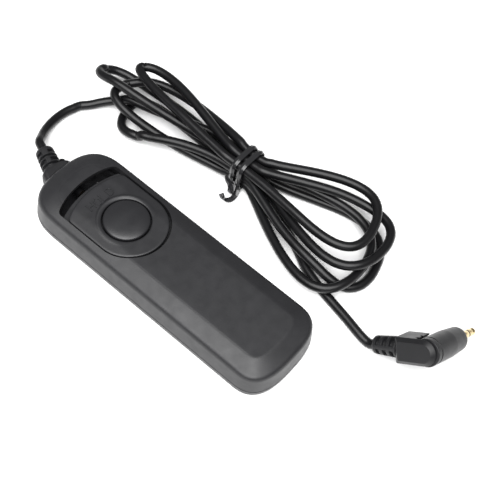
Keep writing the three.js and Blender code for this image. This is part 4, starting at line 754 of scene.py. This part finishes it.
# %% [markdown]
# The word HOLD stands up from the slider in plain strokes, and reads from the near side. A font
# would bring its own curves and a flat back. Here each stroke is a small bar with soft edges, as
# a mould maker would mill it, and the round letters are bent from short strokes.

# %% The raised lettering
WORD = "HOLD"
LETTER_WIDTH, LETTER_HEIGHT, LETTER_PITCH = 2 * MM, 2.7 * MM, 2.8 * MM
STROKE, RELIEF = 0.42 * MM, 0.28 * MM
STROKE_LAP = 0.6  # how far strokes run into each other, as a share of their width
STROKE_EDGE = 0.04 * MM
HEIGHT_STEP = 0.06  # crossing strokes differ a little in height, so that no tops coincide
LETTER_Y = BUTTON_Y + 11.6 * MM


def bow(centre, reach, start, stop, steps):
    """Short strokes along a part of an ellipse as high as the letter, in letter units."""
    spots = []
    for step in range(steps + 1):
        angle = math.radians(start + (stop - start) * step / steps)
        spots.append((centre + reach * math.cos(angle), 0.5 + 0.5 * math.sin(angle)))
    return list(zip(spots, spots[1:]))


LETTERS = {
    "H": [((0, 0), (0, 1)), ((1, 0), (1, 1)), ((0, 0.5), (1, 0.5))],
    "O": bow(0.5, 0.5, 0, 360, 20),
    "L": [((0, 0), (0, 1)), ((0, 0), (1, 0))],
    "D": [((0, 0), (0, 1)), ((0, 0), (0.4, 0)), ((0, 1), (0.4, 1)),
          *bow(0.4, 0.6, -90, 90, 10)],
}
bm = bmesh.new()
for place, letter in enumerate(WORD):
    left = (place - (len(WORD) - 1) / 2) * LETTER_PITCH - LETTER_WIDTH / 2
    for number, ends in enumerate(LETTERS[letter]):
        start, stop = (Vector((left + x * LETTER_WIDTH, y * LETTER_HEIGHT)) for x, y in ends)
        along = stop - start
        middle = (start + stop) / 2
        spot = Matrix.Translation(
            (middle.x, LETTER_Y - LETTER_HEIGHT / 2 + middle.y, SLIDER_TOP))
        heading = Matrix.Rotation(math.atan2(along.y, along.x), 4, "Z")
        tall = 2 * RELIEF * (1 - number % 3 * HEIGHT_STEP)
        size = Matrix.Diagonal((along.length + STROKE * STROKE_LAP, STROKE, tall, 1))
        bar = bmesh.ops.create_cube(bm, size=1, matrix=spot @ heading @ size)["verts"]
        edges = {edge for vert in bar for edge in vert.link_edges}
        bmesh.ops.bevel(bm, geom=sorted(edges, key=lambda edge: edge.index), offset=STROKE_EDGE,
                        affect="EDGES", segments=1, profile=0.5, material=-1)
letters = mesh_object("hold_lettering", bm)
letters.data.materials.append(MATERIALS["case_plastic"])
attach(letters, "slider")
print("set the word in", len(letters.data.polygons), "faces")

# %% [markdown]
# The button is turned in one go: a low dome with a softly rounded rim, a flange that keeps it in
# the slider, and a short stem over the contacts. A cylinder with a bevel would have no dome, so
# the whole profile is drawn and spun.

# %% The release button
low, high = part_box("release_button")
BUTTON_RADIUS = 7.6 * MM
RIM_HEIGHT = 11.8 * MM
RIM_EDGE = 0.08 * MM
DOME_STEPS, DOME_POWER = 18, 0.92
FLANGE_LOW, FLANGE_HIGH = 8.3 * MM, 9 * MM
STEM_RADIUS = 2.2 * MM
FINE_STEPS = 96  # for round pieces that show their outline
button_profile = [
    (0, low.z), (STEM_RADIUS, low.z), (STEM_RADIUS, FLANGE_LOW), (high.x, FLANGE_LOW),
    (high.x, FLANGE_HIGH), (BUTTON_RADIUS - UNDERCUT, FLANGE_HIGH),
    (BUTTON_RADIUS - UNDERCUT, RIM_HEIGHT - EDGE_DEPTH - 0.4 * MM),
    (BUTTON_RADIUS, RIM_HEIGHT - EDGE_DEPTH), (BUTTON_RADIUS, RIM_HEIGHT - 0.1 * MM),
]
for step in range(DOME_STEPS + 1):
    angle = step / DOME_STEPS * math.pi / 2
    button_profile.append((
        (BUTTON_RADIUS - RIM_EDGE) * math.cos(angle) ** DOME_POWER,
        RIM_HEIGHT + (high.z - RIM_HEIGHT) * math.sin(angle),
    ))
button_profile[-1] = (0, high.z)
button = spin("release_button_cap", button_profile, Matrix.Translation((0, BUTTON_Y, 0)),
              FINE_STEPS)
dress(button, "button_plastic", "release_button", body="button")

# %% [markdown]
# The strain relief at the handset is soft rubber, moulded round the cord. It has a flange inside
# the shell, a neck in the notch, and a collar that is wide where it follows the shell's face and
# narrower outside. Boxes would meet in steps, so these are rings of one loft.

# %% The collar of the handset's strain relief
COLLAR_WIDE, COLLAR_NARROW, COLLAR_HEIGHT = 11.6 * MM, 9.4 * MM, 7 * MM
COLLAR_FRONT = HALF_LENGTH + 2.6 * MM
COLLAR_SINK, COLLAR_EDGE = 0.06 * MM, 0.2 * MM
COLLAR_END = [(1.1, 1.1, 0), (0.5, 0.4, 0.1), (0.15, 0, 0.4), (0, -0.6, 0.9)]  # back, wider, lower
CORNER_SHARE, PILLOW_STEPS = 0.3, 6


def pillow_ring(y, width, height):
    """A rounded rectangle about the cord."""
    corner = height * CORNER_SHARE
    points = []
    for number, (sx, sz) in enumerate(((1, 1), (-1, 1), (-1, -1), (1, -1))):
        for step in range(PILLOW_STEPS + 1):
            angle = (number + step / PILLOW_STEPS) * math.pi / 2
            x = sx * (width / 2 - corner) + corner * math.cos(angle)
            z = sz * (height / 2 - corner) + corner * math.sin(angle)
            points.append((x, y, GLAND_HEIGHT + z))
    return points


def shell_face(x, z):
    """How far out the shell's head end is at this place."""
    inset = SIDE_DRAFT * clamp((z - top_low) / (SHOULDER_HEIGHT - top_low))
    share = abs(x) / (HALF_WIDTH - inset)
    reach = (1 - share ** END_SQUARENESS) ** (1 / END_SQUARENESS)
    return HALF_LENGTH - HEAD_ROUNDING + (HEAD_ROUNDING - inset) * reach


def collar_ring(away, width, height):
    """A ring of the collar that follows the shell's face."""
    return [(x, shell_face(x, z) + away, z) for x, _, z in pillow_ring(0, width, height)]


gland_rings = [
    pillow_ring(NECK_BACK - FLANGE_THICKNESS, FLANGE_WIDTH, FLANGE_HEIGHT),
    pillow_ring(NECK_BACK, FLANGE_WIDTH, FLANGE_HEIGHT),
    pillow_ring(NECK_BACK, NECK_WIDTH, NECK_HEIGHT),
    pillow_ring(HALF_LENGTH - MM, NECK_WIDTH, NECK_HEIGHT),
    collar_ring(COLLAR_SINK, COLLAR_WIDE - COLLAR_EDGE, COLLAR_HEIGHT - COLLAR_EDGE),
    collar_ring(COLLAR_EDGE, COLLAR_WIDE, COLLAR_HEIGHT),
]
gland_rings += [
    pillow_ring(COLLAR_FRONT - back * MM, COLLAR_NARROW + wider * MM, COLLAR_HEIGHT - lower * MM)
    for back, wider, lower in COLLAR_END
]
handset_relief = loft("handset_relief", gland_rings)
print("lofted the collar from", len(gland_rings), "rings")

# %% [markdown]
# A thick sleeve follows the cord out of the collar. It could bend evenly if it tapered, but this
# kind has cuts: a slit, a row of two windows, a second slit, and a heavy end with two more
# windows. A bridge stays between the windows of a row, so that it bends but doesn't stretch.

# %% The sleeve and its windows
SLEEVE_RADII = (3.5 * MM, 3.1 * MM)
SLEEVE_LENGTH = RELIEF_LENGTH - 0.9 * MM
SLEEVE_CORE = 2.15 * MM
SLEEVE_ROUNDING = 0.7 * MM
CUTTER_RADIUS = 6 * MM
RUBBER_EDGE = 0.12 * MM
SLITS = ((0.6, 1.2), (4.3, 1.0))  # start along the sleeve and width, in millimetres
SLIT_ANGLES = (-150, 150)
WINDOW_ROWS = ((2.3, 1.5, 14, 84), (6.0, 1.3, 20, 66))  # start, width, first and last angle
FACING = -100  # degrees; turns the middle of the cuts to the upper near side
ALONG_CORD = Matrix.Rotation(-math.pi / 2, 4, "X")  # from about Z to along Y
relief_place = Matrix.Translation(RELIEF_START) @ Matrix.Rotation(RELIEF_YAW, 4, "Z") @ ALONG_CORD


def cut_window(piece, place, core, angles, start, width, steps=20):
    """Cuts a part of a ring down to the core; angles in degrees, start and width in millimetres."""
    low_z, high_z = start * MM, (start + width) * MM
    bm = bmesh.new()
    corners = [(core, low_z), (CUTTER_RADIUS, low_z), (CUTTER_RADIUS, high_z), (core, high_z)]
    face = bm.faces.new([bm.verts.new((radius, 0, height)) for radius, height in corners])
    bmesh.ops.spin(bm, geom=[face, *face.verts, *face.edges], axis=(0, 0, 1), cent=(0, 0, 0),
                   angle=math.radians(angles[1] - angles[0]), steps=steps)
    turned = place @ Matrix.Rotation(math.radians(angles[0]), 4, "Z")
    combine(piece, mesh_object("window", bm, turned))


sleeve_profile = rounded([(0, 0), (SLEEVE_RADII[0], 0), (SLEEVE_RADII[1], SLEEVE_LENGTH),
                          (CORD_RADIUS, SLEEVE_LENGTH), (0, SLEEVE_LENGTH)],
                         {2: SLEEVE_ROUNDING}, 6)
combine(handset_relief, spin("sleeve", sleeve_profile, relief_place), "UNION")
facing_up = relief_place @ Matrix.Rotation(math.radians(FACING), 4, "Z")
for start, width in SLITS:
    cut_window(handset_relief, facing_up, SLEEVE_CORE, SLIT_ANGLES, start, width, 40)
for start, width, first, last in WINDOW_ROWS:
    for angles in ((-last, -first), (first, last)):
        cut_window(handset_relief, facing_up, SLEEVE_CORE, angles, start, width)
soften(handset_relief, RUBBER_EDGE)
dress(handset_relief, "soft_rubber", "handset_strain_relief")

# %% [markdown]
# The tie is a thin glossy band with a wire in its middle. It goes twice round the bundle, and its
# two ends cross in a small twist on the near side. First comes its way: two wraps, with a step
# along the bundle at the end of the first, and a tail at either end.

# %% The way of the tie
surface("tie_coating", "glossy_black_tie", (0.012, 0.012, 0.013), 0.16, 0.5 * MM, 0.02 * MM)
WAIST = Vector((46, 7.4, 6.95)) * MM
TIE_REACH = 6.2 * MM
WRAP_SPACING = 3 * MM
TIE_SQUARENESS = 3.8
WRAP_START, SHIFT_START = 0.375, 0.75  # in turns
WRAP_STEPS = 72
LOW_TAIL = [(37.9, 4.9, 0.8), (35.4, 5.1, 0.75), (34.1, 6.7, 1.2), (34.5, 8.3, 2.3)]
HIGH_TAIL = [(39.2, 7.9, 0.95), (37.4, 6.7, 1.5), (37.3, 6.3, 3.1), (38, 7.6, 4.3),
             (38.4, 9.1, 5.3), (38.9, 10.6, 6.2)]
TAIL_STEPS = 8


def wrap_point(turns):
    """A point of the wraps, on a squarish loop about the bundle's waist."""
    angle = -(turns + WRAP_START) * 2 * math.pi
    across = squarish(math.cos(angle), TIE_SQUARENESS)
    up = squarish(math.sin(angle), TIE_SQUARENESS)
    shift = smooth_step(turns, SHIFT_START, 1) - 0.5
    return WAIST + Vector((TIE_REACH * across, -shift * WRAP_SPACING, TIE_REACH * up))


def tail(inner, end, spots):
    """A smooth way on from the end of the wraps through the spots, in the wrap's direction."""
    points = [inner, end, *(Vector(spot) * MM for spot in spots)]
    made = []
    for index in range(1, len(points) - 1):
        a, b, c, d = (points[min(len(points) - 1, index + k)] for k in (-1, 0, 1, 2))
        for step in range(TAIL_STEPS):
            t = step / TAIL_STEPS
            made.append(b + (c - a) * (t / 2) + (a * 2 - b * 5 + c * 4 - d) * (t * t / 2)
                        + (b * 3 - a - c * 3 + d) * (t ** 3 / 2))
    return [*made[1:], points[-1]]


wraps = [wrap_point(step / WRAP_STEPS) for step in range(2 * WRAP_STEPS + 1)]
tie_points = [*reversed(tail(wraps[2], wraps[0], HIGH_TAIL)), *wraps,
              *tail(wraps[-3], wraps[-1], LOW_TAIL)]
print("the tie runs through", len(tie_points), "points")

# %% [markdown]
# A curve with a flat bevel would twist on its own between the wraps. So the band is a loft whose
# section always lies across the way and along the bundle. It is cut to a point at its high end.

# %% The tie
BAND = [(1.1, 0.0), (1.05, 0.16), (0.55, 0.2), (0.3, 0.42), (0, 0.45), (-0.3, 0.42),
        (-0.55, 0.2), (-1.05, 0.16), (-1.1, 0.0), (-1.05, -0.16), (-0.55, -0.2),
        (0, -0.3), (0.55, -0.2), (1.05, -0.16)]  # millimetres
BAND_SCALE = 0.9
POINT_SHARE, POINT_RINGS = 0.25, 10
bundle = Vector((0, 1, 0))
rings = []
for index, point in enumerate(tie_points):
    ahead = tie_points[min(len(tie_points) - 1, index + 1)]
    along = (ahead - tie_points[max(0, index - 1)]).normalized()
    side = (bundle - along * bundle.dot(along)).normalized()
    top = along.cross(side)
    width = BAND_SCALE * min(1.0, POINT_SHARE + index / POINT_RINGS)
    rings.append([point + side * (u * width * MM) + top * (v * MM) for u, v in BAND])
tie = loft("wire_tie", rings)
dress(tie, "tie_coating", "twist_tie", sharp=60)

# %% [markdown]
# The plug lies tilted on its side. Modelling it there would need a slanted size for everything,
# so it has its own frame: X along the pin, Y from the cord to the corner where cord and pin meet,
# and Z across both. Its pieces are made there and then moved to their place.

# %% The plug's own frame
PLUG_CORNER = Vector((29.6, -80.4, 14.2)) * MM
PIN_DIRECTION = Vector((0.849, -0.177, -0.498)).normalized()
BODY_AIM = Vector((0.184, -0.785, 0.592))
body_along = (BODY_AIM - PIN_DIRECTION * BODY_AIM.dot(PIN_DIRECTION)).normalized()
plug_side = PIN_DIRECTION.cross(body_along)
plug_place = Matrix.Translation(PLUG_CORNER) @ Matrix(
    (PIN_DIRECTION, body_along, plug_side)).transposed().to_4x4()
ALONG_PIN = Matrix.Rotation(math.pi / 2, 4, "Y")  # from about Z to along the pin
print("the plug's corner is at", [round(value / MM, 1) for value in PLUG_CORNER])

# %% [markdown]
# The housing is square at the relief and round about the corner, with chamfered edges at its
# back. A loft along the pin gives both. Then room is cut for the swivel disc and the barrel,
# which leaves a cheek with two small notches.

# %% The housing of the plug
BODY_REACH = 10.4 * MM
BODY_HALF = 4.2 * MM
BODY_CORNER = 0.7 * MM
ROUND_SHIFT = 0.75 * MM
BODY_BACK, BODY_FRONT = -6.4 * MM, 2.9 * MM
BACK_DEPTH = 1.3 * MM
CHEEK_END = 2.9 * MM
FRONT_ROOM = 20 * MM  # larger than the barrel
CHAMFER = 1.2 * MM
HOUSING_EDGE = 0.15 * MM
NOTCHES = (-3.9 * MM, -1.3 * MM)
NOTCH_SIZE = (1.2 * MM, 1.6 * MM, 1.6 * MM)
PLAN_STEPS = 36
BARREL_RADIUS, RIM_RADIUS = 4.45 * MM, 3.95 * MM
JOINT_GAP = 0.35 * MM


def plug_plan(grow):
    """The housing seen along the pin: square at the relief, round about the corner."""
    half = BODY_HALF + grow
    end = -BODY_REACH - grow
    points = corner_arc((end, 0), (end, half), (0, half), BODY_CORNER, 4)
    for step in range(PLAN_STEPS + 1):
        angle = step / PLAN_STEPS * math.pi
        points.append((half * math.sin(angle) - ROUND_SHIFT, half * math.cos(angle)))
    return points + corner_arc((0, -half), (end, -half), (end, 0), BODY_CORNER, 4)


housing_profile = rounded([
    (BODY_BACK, -CHAMFER - 0.6 * MM), (BODY_BACK, -CHAMFER), (BODY_BACK + CHAMFER, 0),
    (BODY_FRONT, 0), (BODY_FRONT, -0.5 * MM),
], {1: 0.25 * MM, 2: 0.25 * MM, 3: 0.2 * MM}, 3)
housing = loft("plug_body", [[(x, y, z) for y, z in plug_plan(grow)]
                             for x, grow in housing_profile])
front_start = BODY_BACK + BACK_DEPTH
room_radius, room_end = BARREL_RADIUS + JOINT_GAP, BODY_FRONT + MM
combine(housing, spin("room", [(0, front_start), (room_radius, front_start),
                               (room_radius, room_end), (0, room_end)], ALONG_PIN, FINE_STEPS))
combine(housing, block("front_room", (FRONT_ROOM, FRONT_ROOM, 2 * FRONT_ROOM),
                       (front_start + FRONT_ROOM / 2, FRONT_ROOM / 2 - CHEEK_END, 0)))
for x in NOTCHES:
    combine(housing, block("notch", NOTCH_SIZE, (x, -CHEEK_END, -BODY_HALF)))
soften(housing, HOUSING_EDGE)
housing.data.transform(plug_place)
dress(housing, "plug_plastic", "plug_housing")

# %% [markdown]
# The round pieces of the plug are turned parts, so they are spun and then laid along the pin.
# First come a loose disc and the barrel, with a shallow bore at its end for the pin.

# %% The disc and the barrel
DISC_RADIUS, DISC_THICKNESS = 4.45 * MM, 2 * MM
BARREL_END = 14.8 * MM
BORE_RADIUS, BORE_DEPTH = 1.5 * MM, 4 * MM


def plug_round(name, node, profile, start, slot, steps=64):
    shifted = [(radius, start + height) for radius, height in profile]
    dress(spin(name, shifted, plug_place @ ALONG_PIN, steps), slot, node)


disc_start = front_start + JOINT_GAP
disc_profile = rounded([(0, 0), (DISC_RADIUS, 0), (DISC_RADIUS, DISC_THICKNESS),
                        (0, DISC_THICKNESS)], {1: 0.3 * MM, 2: 0.3 * MM}, 5)
plug_round("plug_swivel_disc", "plug_disc", disc_profile, disc_start, "plug_plastic")

barrel_start = disc_start + DISC_THICKNESS + JOINT_GAP
barrel = BARREL_END - barrel_start
barrel_profile = rounded([
    (0, 0), (BARREL_RADIUS, 0), (BARREL_RADIUS, barrel * 0.55), (RIM_RADIUS, barrel - 0.6 * MM),
    (RIM_RADIUS - 0.15 * MM, barrel), (BORE_RADIUS, barrel), (BORE_RADIUS, barrel - BORE_DEPTH),
    (0, barrel - BORE_DEPTH),
], {1: 0.3 * MM, 2: 2 * MM, 3: 0.6 * MM, 4: 0.5 * MM, 5: 0.15 * MM}, 5)
plug_round("plug_barrel_shell", "plug_barrel", barrel_profile, barrel_start, "plug_plastic")

# %% [markdown]
# The pin is a 2.5 mm jack with three contacts: a sleeve, a ring and a tip of gilded brass, and a
# black ring between each two. One striped cylinder could look like that, but the real gaps are
# grooves, so each part is a piece of its own, a little apart from the next.

# %% The pin
surface("gold_plate", "pale_gold_plate", (0.62, 0.49, 0.27), 0.2, 0.2 * MM, 0.002 * MM,
        metallic=1.0)
surface("pin_insulator", "black_insulator", (0.015, 0.015, 0.015), 0.4, 0.3 * MM, 0.004 * MM)
PIN_RADIUS = 1.25 * MM
SLEEVE_OUTSIDE, RING_LENGTH, TIP_LENGTH = 2.7 * MM, 3 * MM, 5.1 * MM
INSULATOR = (0.5 * MM, 1.2 * MM, "pin_insulator")  # length, radius and slot
PIN_GAP = 0.1 * MM
PIN_EDGE = 0.06 * MM
PIN_STEPS = 48
PIN_PARTS = (  # piece, node, length, radius and slot, from the barrel out
    ("pin_sleeve", "plug_sleeve", BORE_DEPTH - FIT_GAP + SLEEVE_OUTSIDE, PIN_RADIUS, "gold_plate"),
    ("pin_insulator_near", "plug_insulator_inner", *INSULATOR),
    ("pin_ring", "plug_ring", RING_LENGTH, PIN_RADIUS, "gold_plate"),
    ("pin_insulator_far", "plug_insulator_outer", *INSULATOR),
)
reached = BARREL_END - BORE_DEPTH + FIT_GAP
for name, node, length, radius, slot in PIN_PARTS:
    profile = rounded([(0, 0), (radius, 0), (radius, length), (0, length)],
                      {1: PIN_EDGE, 2: PIN_EDGE}, 3)
    plug_round(name, node, profile, reached, slot, PIN_STEPS)
    reached += length + PIN_GAP
tip_profile = rounded([
    (0, 0), (PIN_RADIUS, 0), (PIN_RADIUS, 1.7 * MM), (PIN_RADIUS - 0.35 * MM, 2.3 * MM),
    (PIN_RADIUS, 3.3 * MM), (0.35 * MM, TIP_LENGTH), (0, TIP_LENGTH),
], {1: PIN_EDGE, 2: 0.3 * MM, 3: 0.4 * MM, 4: 0.6 * MM, 5: 0.3 * MM}, 5)
plug_round("pin_tip", "plug_tip", tip_profile, reached, "gold_plate", PIN_STEPS)

# %% [markdown]
# The relief at the plug widens towards the housing. Three rows of four windows are cut into it,
# and the four spines between them let it bend but not stretch. It is made as the sleeve was.

# %% The strain relief at the plug
RELIEF_FAR = -19.5 * MM  # where the cord goes in, along the plug's Y
CORD_SHIFT = (BODY_BACK + BODY_FRONT) / 2
PLUG_RELIEF_LENGTH = 8.8 * MM
PLUG_RELIEF_RADII = (2.9 * MM, 3.5 * MM)
PLUG_RELIEF_CORE = 2.1 * MM
ROWS = ((1.4, 1.3), (3.9, 1.5), (6.5, 1.6))  # start and width of each row, in millimetres
SPINE = 13  # degrees, half of what stays between two windows
stand = plug_place @ Matrix.Translation((CORD_SHIFT, RELIEF_FAR, 0)) @ ALONG_CORD
plug_relief = spin("plug_relief", rounded([
    (0, 0), (PLUG_RELIEF_RADII[0], 0), (PLUG_RELIEF_RADII[1], PLUG_RELIEF_LENGTH),
    (0, PLUG_RELIEF_LENGTH),
], {1: 0.8 * MM, 2: 0.3 * MM}, 6), stand)
for start, width in ROWS:
    for quarter in (0, 90, 180, 270):
        angles = (quarter + SPINE, quarter + 90 - SPINE)
        cut_window(plug_relief, stand, PLUG_RELIEF_CORE, angles, start, width, 12)
soften(plug_relief, RUBBER_EDGE)
dress(plug_relief, "soft_rubber", "plug_strain_relief")

# %% [markdown]
# The pieces inside the handset are plain stampings and screws, and hardly show. So they keep the
# frame's own shapes and only get their materials: brown laminate for the board, spring brass for
# the leaves, pale spacers and zinc on the steel.

# %% Materials for the inner pieces
surface("board_laminate", "brown_board_laminate", (0.32, 0.2, 0.09), 0.55, 0.2 * MM, 0.01 * MM,
        2 * MM, 0.25)
surface("pale_plastic", "natural_spacer_plastic", (0.72, 0.68, 0.6), 0.5, 0.3 * MM, 0.008 * MM,
        4 * MM, 0.06)
surface("spring_brass", "rolled_spring_brass", (0.72, 0.52, 0.22), 0.3, 0.12 * MM, 0.003 * MM,
        3 * MM, 0.1, 1.0)
surface("plain_steel", "zinc_plated_steel", (0.56, 0.56, 0.58), 0.32, 0.12 * MM, 0.004 * MM,
        3 * MM, 0.08, 1.0)
inner = [row for row in frame["record"]["subparts"] if not NODES[row["node"]].hide_render]
for row in inner:
    node = NODES[row["node"]]
    node.data.materials.clear()
    node.data.materials.append(MATERIALS[row["material_slot"]])
print("dressed", len(inner), "inner pieces")

# %% [markdown]
# The cord's real length is measured along its centre line and printed.

print("declared", round(path_length(cord_line), 3), "m of cord")

# %% [markdown]
# A plain pale floor and soft light finish the picture. Several lamps would draw several shadows,
# so one broad panel above the near left side gives the soft shapes, and an even white surrounding
# fills the shadows.

# %% Floor and light
bm = bmesh.new()
bmesh.ops.create_grid(bm, x_segments=1, y_segments=1, size=2)
floor = mesh_object("floor", bm)
surface("floor", "pale_floor", (0.93, 0.93, 0.93), 0.7, 2 * MM, 0.0, 60 * MM, 0.01)
floor.data.materials.append(MATERIALS["floor"])

lamp_data = bpy.data.lights.new("broad_panel", "AREA")
lamp_data.shape = "DISK"
lamp_data.size = 1.0
lamp_data.energy = 19
lamp = add_object("broad_panel", lamp_data)
lamp.location = (-0.3, -0.12, 0.78)
aim = Vector((0.02, 0, 0)) - lamp.location
lamp.rotation_euler = aim.to_track_quat("-Z", "Y").to_euler()
world = bpy.data.worlds.new("soft_room")
world.use_nodes = True
background = world.node_tree.nodes["Background"]
background.inputs["Color"].default_value = (1, 1, 1, 1)
background.inputs["Strength"].default_value = 0.3
bpy.context.scene.world = world
bpy.context.scene.view_settings.view_transform = "Standard"
print("lit the scene")
